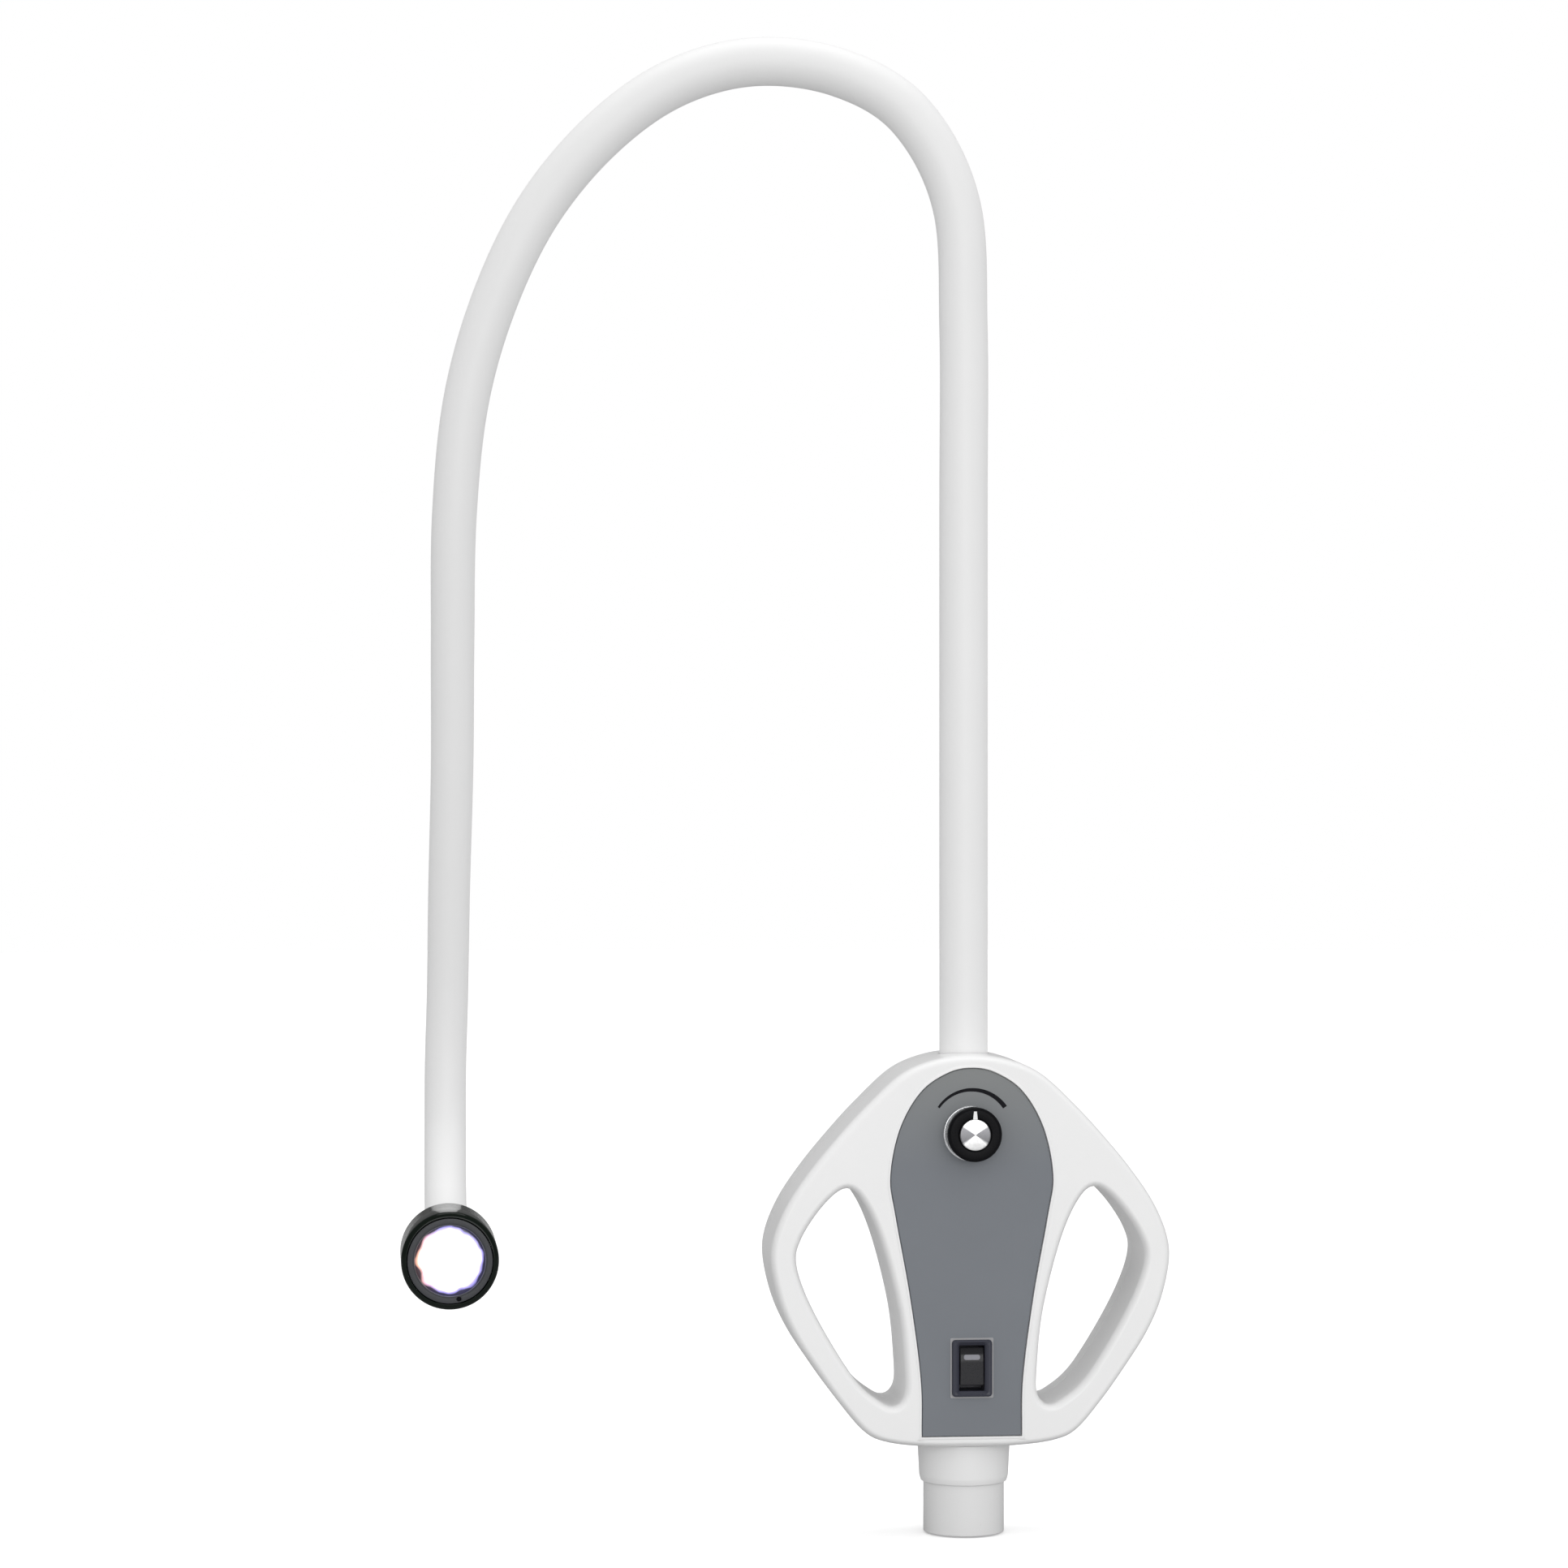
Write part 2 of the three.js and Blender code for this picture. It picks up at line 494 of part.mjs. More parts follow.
function addHead() {
  const turned = (name, section, sides, finish) => {
    addPiece(name, facing(section, sides, HEAD.x, HEAD.z), finish);
  };
  const { front, radius, bore, mouth } = HEAD;

  turned('neck_adaptor', [
    [7.6, 13], [9.4, 13], [10, 12.3], [10.6, 8.5], [12.6, 5], [10.5, 5], [10.5, -1], [7.6, -1],
  ], 24, 'satinBlack');
  turned('head_rear', [
    [10.8, 4.6], [13, 4.6], [15.4, 2.4], [17, -2], [17.6, -8], [16.5, -8], [16.5, -13], [14.5, -13],
    [14.5, -3.4], [10.8, -3.4],
  ], 24, 'satinBlack');
  turned('head_barrel', [
    [bore, -8.3], [radius - 0.6, -8.3], [radius, -9], [radius, front + 3], [radius - 0.4, front + 1.5],
    [radius - 1.4, front + 0.4], [radius - 2.5, front], [mouth, front], [mouth, -42.6], [bore, -42.6],
  ], 32, 'black');
  turned('heat_sink', [
    [3, -13.4], [12, -13.4], [12, -15], [16.5, -15], [16.5, -16.6], [12, -16.6], [12, -18.2], [16.5, -18.2],
    [16.5, -22], [3, -22],
  ], 24, 'aluminium');
  turned('led_board', [[0, -22.3], [15.6, -22.3], [15.6, -23.9], [0, -23.9]], 24, 'board');
  turned('led_emitter', [[0, -24.2], [4, -24.2], [4, -24.8], [3, -25.6], [1.6, -26], [0, -26.1]], 16, 'emitter');
  turned('reflector', [
    [4.6, -24.3], [5.6, -24.3], [9.5, -29], [12.8, -34.4], [14.2, -38.2], [16.4, -38.2], [16.4, -39.1],
    [13.4, -39.1], [11.9, -34.8], [8.6, -29.4],
  ], 24, 'mirror');
  turned('lens', [
    [0, -39.4], [14.2, -39.4], [14.2, -41.2], [12, -41.6], [6, -41.9], [0, -42],
  ], 24, 'lens');
  const seal = { middle: 15.6, radius: 0.8, y: -40.4, sides: 8 };
  turned('lens_seal', Array.from({ length: seal.sides }, (_, i) => {
    const angle = (i / seal.sides) * 2 * Math.PI;
    return [seal.middle + seal.radius * Math.cos(angle), seal.y + seal.radius * Math.sin(angle)];
  }), 24, 'rubber');

  const ring = facing([
    [13.4, -42.3], [16.2, -42.3], [16.2, front + 0.4], [14.1, front + 0.4], [13.5, front + 0.9],
  ], 32, HEAD.x, HEAD.z);
  // a blind hole for the pin wrench that tightens the ring
  const pinAngle = THREE.MathUtils.degToRad(-78);
  const pinHole = facing(
    [[0, front - 2], [0.85, front - 2], [0.85, -42.7], [0, -42.7]], 10,
    HEAD.x + 15 * Math.cos(pinAngle), HEAD.z + 15 * Math.sin(pinAngle),
  );
  addPiece('front_ring', combined(ring, [], [pinHole]), 'satinBlack');

  // the lamp lead's head end comes out of the hose and through the heat sink to the board
  const leadStart = 995;
  const leadEnd = 1057.5;
  addPiece('head_lead', alongNeck([
    [0, leadStart], ...stations(leadStart, leadEnd).map((along) => [LEAD_RADIUS, along]),
    ...stations(leadStart, leadEnd).slice(1).reverse().map((along) => [0, along]),
  ], 8), 'cable');
}

addPost();
addInside();
addHousing();
addPanel();
addKnob();
addRocker();
addNeck();
addHead();

export default group;
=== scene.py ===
# Examination lamp: an LED head on a white gooseneck, rising from a control housing with two finger grips
# that sits on a short post. Metres, +Z up; the control panel and the lens face -Y.
import json
import math

import bmesh
import bpy
from mathutils import Matrix, Vector
from mathutils.geometry import tessellate_polygon


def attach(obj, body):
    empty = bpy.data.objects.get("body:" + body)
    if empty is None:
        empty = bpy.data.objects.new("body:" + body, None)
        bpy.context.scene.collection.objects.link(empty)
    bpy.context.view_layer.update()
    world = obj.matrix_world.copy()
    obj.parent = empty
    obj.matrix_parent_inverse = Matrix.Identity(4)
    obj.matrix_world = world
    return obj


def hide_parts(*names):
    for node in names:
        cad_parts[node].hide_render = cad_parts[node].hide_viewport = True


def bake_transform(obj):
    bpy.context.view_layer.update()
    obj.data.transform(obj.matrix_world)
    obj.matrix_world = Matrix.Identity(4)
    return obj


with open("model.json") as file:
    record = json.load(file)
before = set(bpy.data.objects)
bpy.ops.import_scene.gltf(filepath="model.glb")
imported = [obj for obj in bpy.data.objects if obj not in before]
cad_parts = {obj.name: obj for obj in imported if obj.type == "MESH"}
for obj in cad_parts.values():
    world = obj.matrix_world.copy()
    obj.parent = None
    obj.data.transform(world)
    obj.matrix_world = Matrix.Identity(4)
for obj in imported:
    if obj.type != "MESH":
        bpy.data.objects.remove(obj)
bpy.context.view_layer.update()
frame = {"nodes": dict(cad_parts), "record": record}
scene = bpy.context.scene


# ---- studio ----
# A level camera with a long lens a little to the left of the lamp, a white surround, a pale floor under
# the post, a wide soft light behind the camera and another overhead.
MM = 0.001
VIEW_TURN = math.radians(5.5)
VIEW_DISTANCE = 1.7
VIEW_TARGET = Vector((-0.0711, 0, 0.2941))
SENSOR_WIDTH, LENS_LENGTH = 36, 99.3913
LIGHT_TARGET = Vector((-0.09, 0, 0.3))

camera = bpy.data.objects.new("camera", bpy.data.cameras.new("camera"))
camera.data.sensor_width = SENSOR_WIDTH
camera.data.lens = LENS_LENGTH
camera.location = VIEW_TARGET - VIEW_DISTANCE * Vector((math.sin(VIEW_TURN), math.cos(VIEW_TURN), 0))
camera.rotation_euler = (math.pi / 2, 0, -VIEW_TURN)
scene.collection.objects.link(camera)
scene.camera = camera
scene.view_settings.view_transform = "Standard"


def node(tree, kind, links=None, **settings):
    """A shader or geometry node. settings sets its properties, links its inputs' values or sources."""
    made = tree.nodes.new(kind)
    for key, value in settings.items():
        setattr(made, key, value)
    for key, value in (links or {}).items():
        if isinstance(value, bpy.types.NodeSocket):
            tree.links.new(value, made.inputs[key])
        else:
            made.inputs[key].default_value = value
    return made


world = bpy.data.worlds.new("surround")
world.use_nodes = True
world.node_tree.nodes.clear()
sky = world.node_tree
direction = node(sky, "ShaderNodeTexCoord").outputs["Generated"]
heading = node(sky, "ShaderNodeSeparateXYZ", {0: direction}).outputs
# brighter overhead than below, in front than behind, and a little brighter on the right
upward = node(sky, "ShaderNodeMapRange", {0: heading["Z"], 1: -1.0, 2: 1.0, 3: 0.80, 4: 0.95}).outputs[0]
backward = node(sky, "ShaderNodeMapRange", {0: heading["Y"], 1: -1.0, 2: 1.0, 3: 1.18, 4: 0.65}).outputs[0]
rightward = node(sky, "ShaderNodeMapRange", {0: heading["X"], 1: -1.0, 2: 1.0, 3: 0.95, 4: 1.06}).outputs[0]
strength = node(sky, "ShaderNodeMath", {0: upward, 1: backward}, operation="MULTIPLY").outputs[0]
strength = node(sky, "ShaderNodeMath", {0: strength, 1: rightward}, operation="MULTIPLY").outputs[0]
# the surround is a quarter as bright in reflections, so that gloss black stays dark
in_gloss = node(sky, "ShaderNodeLightPath").outputs["Is Glossy Ray"]
dimmed = node(sky, "ShaderNodeMapRange", {0: in_gloss, 1: 0.0, 2: 1.0, 3: 1.0, 4: 0.25}).outputs[0]
surround = node(sky, "ShaderNodeMath", {0: strength, 1: dimmed}, operation="MULTIPLY").outputs[0]
unseen = node(sky, "ShaderNodeBackground", {"Color": (1, 1, 1, 1), "Strength": surround}).outputs[0]
seen = node(sky, "ShaderNodeBackground", {"Color": (1, 1, 1, 1), "Strength": 1.0}).outputs[0]
is_seen = node(sky, "ShaderNodeLightPath").outputs["Is Camera Ray"]
both = node(sky, "ShaderNodeMixShader", {0: is_seen, 1: unseen, 2: seen}).outputs[0]
node(sky, "ShaderNodeOutputWorld", {0: both})
scene.world = world

bpy.ops.mesh.primitive_circle_add(vertices=96, radius=6, fill_type="NGON", location=(0, 0, -0.0006))
floor = bpy.context.object
floor.name = "floor"
paper = bpy.data.materials.new("floor_paper")
paper.use_nodes = True
paper.node_tree.nodes.clear()
# the camera sees a brighter floor than the lamp is lit by
matt = node(paper.node_tree, "ShaderNodeBsdfDiffuse", {0: (0.9, 0.9, 0.9, 1)}).outputs[0]
dim = node(paper.node_tree, "ShaderNodeBsdfDiffuse", {0: (0.45, 0.45, 0.45, 1)}).outputs[0]
lift = node(paper.node_tree, "ShaderNodeEmission", {0: (1, 1, 1, 1), 1: 0.36}).outputs[0]
lit = node(paper.node_tree, "ShaderNodeAddShader", {0: matt, 1: lift}).outputs[0]
is_seen = node(paper.node_tree, "ShaderNodeLightPath").outputs["Is Camera Ray"]
both = node(paper.node_tree, "ShaderNodeMixShader", {0: is_seen, 1: dim, 2: lit}).outputs[0]
node(paper.node_tree, "ShaderNodeOutputMaterial", {0: both})
floor.data.materials.append(paper)

# name, place, width, height, power
for name, place, width, height, power in (
    ("key_light", (0.0, -2.3, 0.4), 1.5, 1.2, 16.0),
    ("top_light", (-0.1, 0.15, 1.9), 1.2, 1.0, 6.5),
):
    light = bpy.data.lights.new(name, "AREA")
    light.shape, light.size, light.size_y, light.energy = "RECTANGLE", width, height, power
    lamp = bpy.data.objects.new(name, light)
    lamp.location = place
    lamp.rotation_euler = (LIGHT_TARGET - lamp.location).to_track_quat("-Z", "Y").to_euler()
    scene.collection.objects.link(lamp)


# ---- post tube ----
# The short length of steel tube that carries the lamp, painted satin white. Its foot is cut square.
def surface(name, colour, roughness, metallic=0.0, grain=900.0, relief=0.00001, mottle=0.03, **more):
    """A finish whose colour and gloss vary a little and whose skin has a fine relief."""
    made = bpy.data.materials.new(name)
    made.use_nodes = True
    tree = made.node_tree
    shader = tree.nodes["Principled BSDF"]
    place = node(tree, "ShaderNodeTexCoord").outputs["Object"]
    broad = node(tree, "ShaderNodeTexNoise", {"Vector": place, "Scale": 35.0, "Detail": 3.0}).outputs[0]
    fine = node(tree, "ShaderNodeTexNoise", {"Vector": place, "Scale": grain, "Detail": 4.0}).outputs[0]
    low = tuple(c * (1 - mottle) for c in colour) + (1,)
    high = tuple(min(1.0, c * (1 + mottle)) for c in colour) + (1,)
    tint = node(tree, "ShaderNodeMix", {0: broad, 6: low, 7: high}, data_type="RGBA")
    tree.links.new(tint.outputs[2], shader.inputs["Base Color"])
    gloss = node(tree, "ShaderNodeMapRange", {
        0: fine, 1: 0.3, 2: 0.7, 3: max(0.02, roughness - 0.05), 4: roughness + 0.05,
    }).outputs[0]
    tree.links.new(gloss, shader.inputs["Roughness"])
    bump = node(tree, "ShaderNodeBump", {"Height": fine, "Strength": 1.0, "Distance": relief})
    tree.links.new(bump.outputs[0], shader.inputs["Normal"])
    shader.inputs["Metallic"].default_value = metallic
    for key, value in more.items():
        shader.inputs[key.replace("_", " ").title().replace("Ior", "IOR")].default_value = value
    return made


def softened(section, radius, steps=4):
    """A closed section with each corner off the axis eased to a curve of about that radius."""
    eased = []
    count = len(section)
    for i, corner in enumerate(section):
        here = Vector(corner)
        before, after = Vector(section[i - 1]), Vector(section[(i + 1) % count])
        if here.x == 0:
            eased.append(corner)
            continue
        reach = min(radius, 0.45 * (before - here).length, 0.45 * (after - here).length)
        start = here + (before - here).normalized() * reach
        end = here + (after - here).normalized() * reach
        for k in range(steps + 1):
            t = k / steps
            point = start * (1 - t) ** 2 + here * 2 * t * (1 - t) + end * t ** 2
            eased.append((point.x, point.y))
    return eased


def finished(bm, name, body, slot, material, *nodes, sharp=35):
    """The mesh as a piece in metres that rides on its body and stands for its CAD nodes."""
    bmesh.ops.remove_doubles(bm, verts=bm.verts, dist=1e-7)
    bmesh.ops.recalc_face_normals(bm, faces=bm.faces)
    mesh = bpy.data.meshes.new(name)
    bm.to_mesh(mesh)
    bm.free()
    return placed(mesh, name, body, slot, material, *nodes, sharp=sharp)


def placed(mesh, name, body, slot, material, *nodes, sharp=35):
    mesh.name = name
    mesh.shade_smooth()
    mesh.set_sharp_from_angle(angle=math.radians(sharp))
    mesh.materials.clear()
    mesh.materials.append(material)
    piece = bpy.data.objects.new(name, mesh)
    scene.collection.objects.link(piece)
    if body:
        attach(piece, body)
    if nodes:
        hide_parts(*nodes)
    return piece


def turned(section, centre=(0, 0), axis="Y", sides=96):
    """A closed section of (radius, place) pairs in mm, turned about an axis along Y or Z."""
    bm = bmesh.new()
    rings = []
    for radius, place in section:
        ring = []
        for i in range(sides if radius > 0 else 1):
            angle = 2 * math.pi * i / sides
            across, other = radius * math.cos(angle), radius * math.sin(angle)
            if axis == "Y":
                point = (centre[0] + across, place, centre[1] + other)
            else:
                point = (centre[0] + across, centre[1] + other, place)
            ring.append(bm.verts.new(Vector(point) * MM))
        rings.append(ring)
    for first, second in zip(rings, rings[1:] + rings[:1]):
        longest = max(len(first), len(second))
        for i in range(longest if longest > 1 else 0):
            j = (i + 1) % longest
            near, far = [first[k % len(first)] for k in (i, j)], [second[k % len(second)] for k in (j, i)]
            face = list(dict.fromkeys(near + far))
            if len(face) > 2:
                bm.faces.new(face)
    return bm


white_paint = surface("satin_white_paint", (0.78, 0.78, 0.78), 0.32, grain=1400.0, relief=0.000012, coat_weight=0.25)
POST_RADIUS, POST_BORE, POST_TOP = 15.875, 14.275, 50
tube = softened([(POST_BORE, 0), (POST_RADIUS, 0), (POST_RADIUS, POST_TOP), (POST_BORE, POST_TOP)], 0.4)
finished(turned(tube, axis="Z", sides=128), "post_tube_painted", "housing", "white_paint", white_paint, "post_tube")


# ---- post collar ----
# A moulded white collar that trims the joint between the housing and the post. It tapers a little
# towards its foot, and its upper spigot is inside the housing.
white_moulding = surface("satin_white_moulding", (0.84, 0.84, 0.84), 0.36, grain=1800.0, relief=0.00001, mottle=0.015)
collar = softened([
    (16.1, 20), (16.9, 20), (17.5, 22.2), (18.2, 35.7), (16.9, 35.7), (16.9, 45.7), (16.1, 45.7),
], 0.5)
finished(turned(collar, axis="Z", sides=128), "post_collar_moulded", "housing", "white_moulding", white_moulding,
         "post_collar")


# ---- housing ----
# Two white moulded halves that meet at a fine parting line. Each is a shell with rounded edges outside
# and round both finger openings. The front one holds the panel in a rebate with a low bead round it.
HOUSING_OUTLINE = [
    (0, 188.6), (14, 187), (27.5, 181.3), (41.5, 168.5), (53.2, 155.8), (63.7, 143), (72.2, 130.3), (77.4, 117.7),
    (78.2, 107), (74.8, 92), (69, 79.2), (60.8, 66.5), (51.8, 54), (41.8, 42.4), (33, 38.2), (18, 36.3), (0, 36),
]
GRIP_OUTLINE = [
    (48.5, 137), (57.2, 131), (66.3, 117.6), (68, 106.5), (60.8, 88), (46, 63.6), (35.5, 54),
    (29.8, 52.4), (26.2, 56.5), (26, 66), (28.3, 88.3), (34.8, 114.4), (41.6, 130.6),
]
PANEL_OUTLINE = [
    (0, 183.5), (9.3, 181.6), (19.8, 174.3), (28, 160), (31.7, 141.5), (29.6, 126), (23.9, 94.5), (19.8, 63),
    (19.4, 40.6),
]
HOUSING_FRONT, HOUSING_BACK, PARTING, SEAM = -24.0, 20.0, 6.0, 0.3
WALL, FRONT_WALL = 2.6, 4.5
EDGE_INSET, EDGE_DEPTH, EDGE_STEPS = 2.4, 4.5, 12
PANEL_FACE, PANEL_THICKNESS, PANEL_LEDGE, GAP = -23.6, 1.6, 3.0, 0.3
FLAT_RING = 0.3  # from the end of the rounding to a ring that keeps the flat's shading flat
BEAD = [(1.2, 0), (1.0, 0), (0.85, 0.1), (0.6, 0.2), (0.3, 0.22), (0.05, 0.18)]  # out from the rebate, height


def smooth_line(points, closed, steps=12):
    """Points along a uniform Catmull-Rom curve through the given ones."""
    through = [Vector(p) for p in points]
    count = len(through)
    line = []
    for i in range(count if closed else count - 1):
        p1, p2 = through[i], through[(i + 1) % count]
        p0 = through[i - 1] if closed or i > 0 else 2 * p1 - p2
        p3 = through[(i + 2) % count] if closed or i + 2 < count else 2 * p2 - p1
        t1, t2 = (p2 - p0) / 2, (p3 - p1) / 2
        for k in range(steps):
            t = k / steps
            line.append(
                (2 * t ** 3 - 3 * t ** 2 + 1) * p1 + (t ** 3 - 2 * t ** 2 + t) * t1
                + (3 * t ** 2 - 2 * t ** 3) * p2 + (t ** 3 - t ** 2) * t2
            )
    return line if closed else line + [through[-1]]


def evenly(line, count, closed):
    """count points spaced evenly along a line."""
    path = line + [line[0]] if closed else line
    lengths = [0.0]
    for a, b in zip(path, path[1:]):
        lengths.append(lengths[-1] + (b - a).length)
    spaced, at = [], 0
    for k in range(count):
        want = lengths[-1] * k / (count if closed else count - 1)
        while at < len(path) - 2 and lengths[at + 1] < want:
            at += 1
        share = (want - lengths[at]) / max(lengths[at + 1] - lengths[at], 1e-12)
        spaced.append(path[at].lerp(path[at + 1], min(share, 1.0)))
    return spaced


def turning(loop):
    return sum(a.x * b.y - b.x * a.y for a, b in zip(loop, loop[1:] + loop[:1]))


def grown(loop, amount):
    """A closed loop moved outwards by amount, its corners mitred."""
    side = 1 if turning(loop) > 0 else -1
    moved = []
    for i, here in enumerate(loop):
        first = (here - loop[i - 1]).normalized()
        second = (loop[(i + 1) % len(loop)] - here).normalized()
        a, b = Vector((first.y, -first.x)) * side, Vector((second.y, -second.x)) * side
        moved.append(here + (a + b) / (1 + a.dot(b)) * amount)
    return moved


def mirrored(points):
    return [(-x, z) for x, z in reversed(points)]


outline = evenly(smooth_line(HOUSING_OUTLINE + mirrored(HOUSING_OUTLINE[1:-1]), True), 240, True)
right_grip = evenly(smooth_line(GRIP_OUTLINE, True), 140, True)
left_grip = [Vector((-p.x, p.y)) for p in reversed(right_grip)]
panel_side = smooth_line(mirrored(PANEL_OUTLINE[1:]) + PANEL_OUTLINE, False)
panel_outline = evenly(panel_side, 160, False)
foot_left, foot_right = panel_outline[0], panel_outline[-1]
panel_outline += [foot_right.lerp(foot_left, k / 12) for k in range(1, 12)]


class Moulding:
    """A closed shell built from loops that lie in planes across Y."""

    def __init__(self):
        self.bm = bmesh.new()

    def ring(self, loop, y):
        return [self.bm.verts.new((p.x * MM, y * MM, p.y * MM)) for p in loop]

    def wall(self, *rings):
        for first, second in zip(rings, rings[1:]):
            for i in range(len(first)):
                j = (i + 1) % len(first)
                self.bm.faces.new((first[i], first[j], second[j], second[i]))

    def cap(self, *rings):
        corners = [v for ring in rings for v in ring]
        flat = [[Vector((v.co.x, v.co.z, 0)) / MM for v in ring] for ring in rings]
        for triangle in tessellate_polygon(flat):
            self.bm.faces.new([corners[i] for i in triangle])

    def rounded(self, loop, straight, edge, way):
        """The skin of one loop from y = straight to its rounded edge at y = edge. way is 1 for an outline."""
        depth = math.copysign(EDGE_DEPTH, straight - edge)
        rings = [self.ring(loop, straight)]
        for k in range(EDGE_STEPS, -1, -1):
            angle = math.pi / 2 * k / EDGE_STEPS
            inset = EDGE_INSET * (1 - math.sin(angle))
            rings.append(self.ring(grown(loop, -way * inset), edge + depth * (1 - math.cos(angle))))
        rings.append(self.ring(grown(loop, -way * (EDGE_INSET + FLAT_RING)), edge))
        self.wall(*rings)
        return rings[0], rings[-1]


def circle(x, z, radius, count=48):
    return [
        Vector((x + radius * math.cos(2 * math.pi * i / count), z + radius * math.sin(2 * math.pi * i / count)))
        for i in range(count)
    ]


def solid(bm, name):
    """A loose object made of a closed mesh, for a cut or a copy."""
    bmesh.ops.recalc_face_normals(bm, faces=bm.faces)
    mesh = bpy.data.meshes.new(name)
    bm.to_mesh(mesh)
    bm.free()
    made = bpy.data.objects.new(name, mesh)
    scene.collection.objects.link(made)
    return made


def cut(piece, *cutters):
    """Takes the cutters' shapes out of a piece and removes the cutters."""
    for cutter in cutters:
        hole = piece.modifiers.new("hole", "BOOLEAN")
        hole.operation, hole.solver, hole.object = "DIFFERENCE", "EXACT", cutter
    bpy.context.view_layer.update()
    result = bpy.data.meshes.new_from_object(piece.evaluated_get(bpy.context.evaluated_depsgraph_get()))
    piece.modifiers.clear()
    piece.data = result
    for cutter in cutters:
        bpy.data.objects.remove(cutter)


LOOPS = [(outline, 1), (left_grip, -1), (right_grip, -1)]
NECK_HOLE = [(0, 174), (9.9, 174), (9.9, 196), (0, 196)]
POST_HOLE = [(0, 26), (17.2, 26), (17.2, 42), (0, 42)]

front = Moulding()
start, inner_start = PARTING - SEAM / 2, HOUSING_FRONT + FRONT_WALL
faces, backs = [], []
for loop, way in LOOPS:
    rim, face = front.rounded(loop, start, HOUSING_FRONT, way)
    inner = grown(loop, -way * WALL)
    inner_rim, inner_face = front.ring(inner, start), front.ring(inner, inner_start)
    front.wall(rim, inner_rim, inner_face)
    faces.append(face)
    backs.append(inner_face)
rebate = grown(panel_outline, GAP)
opening = grown(panel_outline, -PANEL_LEDGE)
ledge = PANEL_FACE + PANEL_THICKNESS + GAP
rebate_rings = [front.ring(rebate, y) for y in (HOUSING_FRONT, ledge)]
opening_rings = [front.ring(opening, y) for y in (ledge, inner_start)]
bead_rings = [front.ring(grown(rebate, out), HOUSING_FRONT - rise) for out, rise in BEAD]
front.wall(*bead_rings, *rebate_rings, *opening_rings)
front.cap(*faces, bead_rings[0])
front.cap(*backs, opening_rings[1])
piece = finished(front.bm, "housing_front_shell", "housing", "white_moulding", white_moulding, "housing_front")
for hole in (NECK_HOLE, POST_HOLE):
    cut(piece, solid(turned(hole, axis="Z"), "cutter"))

SCREW_PLACES = [(-27, 168), (27, 168), (-37, 46), (37, 46)]
POCKET_RADIUS, POCKET_FLOOR, BOSS_RADIUS, BOSS_END = 3.2, 16.8, 4.2, 14.0
rear = Moulding()
start, inner_start = PARTING + SEAM / 2, HOUSING_BACK - WALL
faces, backs = [], []
for loop, way in LOOPS:
    rim, face = rear.rounded(loop, start, HOUSING_BACK, way)
    inner = grown(loop, -way * WALL)
    inner_rim, inner_face = rear.ring(inner, start), rear.ring(inner, inner_start)
    rear.wall(rim, inner_rim, inner_face)
    faces.append(face)
    backs.append(inner_face)
for x, z in SCREW_PLACES:
    pocket = [rear.ring(circle(x, z, POCKET_RADIUS), y) for y in (HOUSING_BACK, POCKET_FLOOR)]
    boss = [rear.ring(circle(x, z, BOSS_RADIUS), y) for y in (inner_start, BOSS_END)]
    rear.wall(*pocket)
    rear.wall(*boss)
    rear.cap(pocket[1])
    rear.cap(boss[1])
    faces.append(pocket[0])
    backs.append(boss[0])
rear.cap(*faces)
rear.cap(*backs)
piece = finished(rear.bm, "housing_rear_shell", "housing", "white_moulding", white_moulding, "housing_rear")
for hole in (NECK_HOLE, POST_HOLE):
    cut(piece, solid(turned(hole, axis="Z"), "cutter"))


# ---- housing screws ----
# Four steel pan-head screws with a cross recess, set in pockets in the back. They are one screw copied
# to the four places, each copy turned a little further.
steel = surface("bright_steel", (0.55, 0.56, 0.58), 0.28, metallic=1.0, grain=2500.0, relief=0.000006)
screw_section = softened([
    (0, -7), (1.2, -6), (1.2, 16.9), (2.8, 16.9), (2.8, 18.2), (1.6, 18.9), (0, 18.9),
], 0.35)
RECESS_WIDTH, RECESS_THICKNESS, RECESS_DEPTH, SCREW_TOP, SCREW_TURN = 2.6, 0.6, 0.8, 18.9, 0.35
screw = solid(turned(screw_section, sides=32), "screw")
blades = []
for wide, tall in ((RECESS_WIDTH, RECESS_THICKNESS), (RECESS_THICKNESS, RECESS_WIDTH)):
    bm = bmesh.new()
    bmesh.ops.create_cube(bm, size=1)
    size = Matrix.Diagonal((wide * MM, 2 * RECESS_DEPTH * MM, tall * MM, 1))
    bmesh.ops.transform(bm, matrix=Matrix.Translation((0, SCREW_TOP * MM, 0)) @ size, verts=bm.verts)
    blades.append(solid(bm, "blade"))
cut(screw, *blades)


def nodes_tree(name, inputs):
    """An empty geometry tree with a mesh in, a mesh out and named inputs of (name, kind, value)."""
    tree = bpy.data.node_groups.new(name, "GeometryNodeTree")
    tree.interface.new_socket("Geometry", in_out="INPUT", socket_type="NodeSocketGeometry")
    for label, kind, value in inputs:
        socket = tree.interface.new_socket(label, in_out="INPUT", socket_type="NodeSocket" + kind)
        if value is not None:
            socket.default_value = value
    tree.interface.new_socket("Geometry", in_out="OUTPUT", socket_type="NodeSocketGeometry")
    return tree


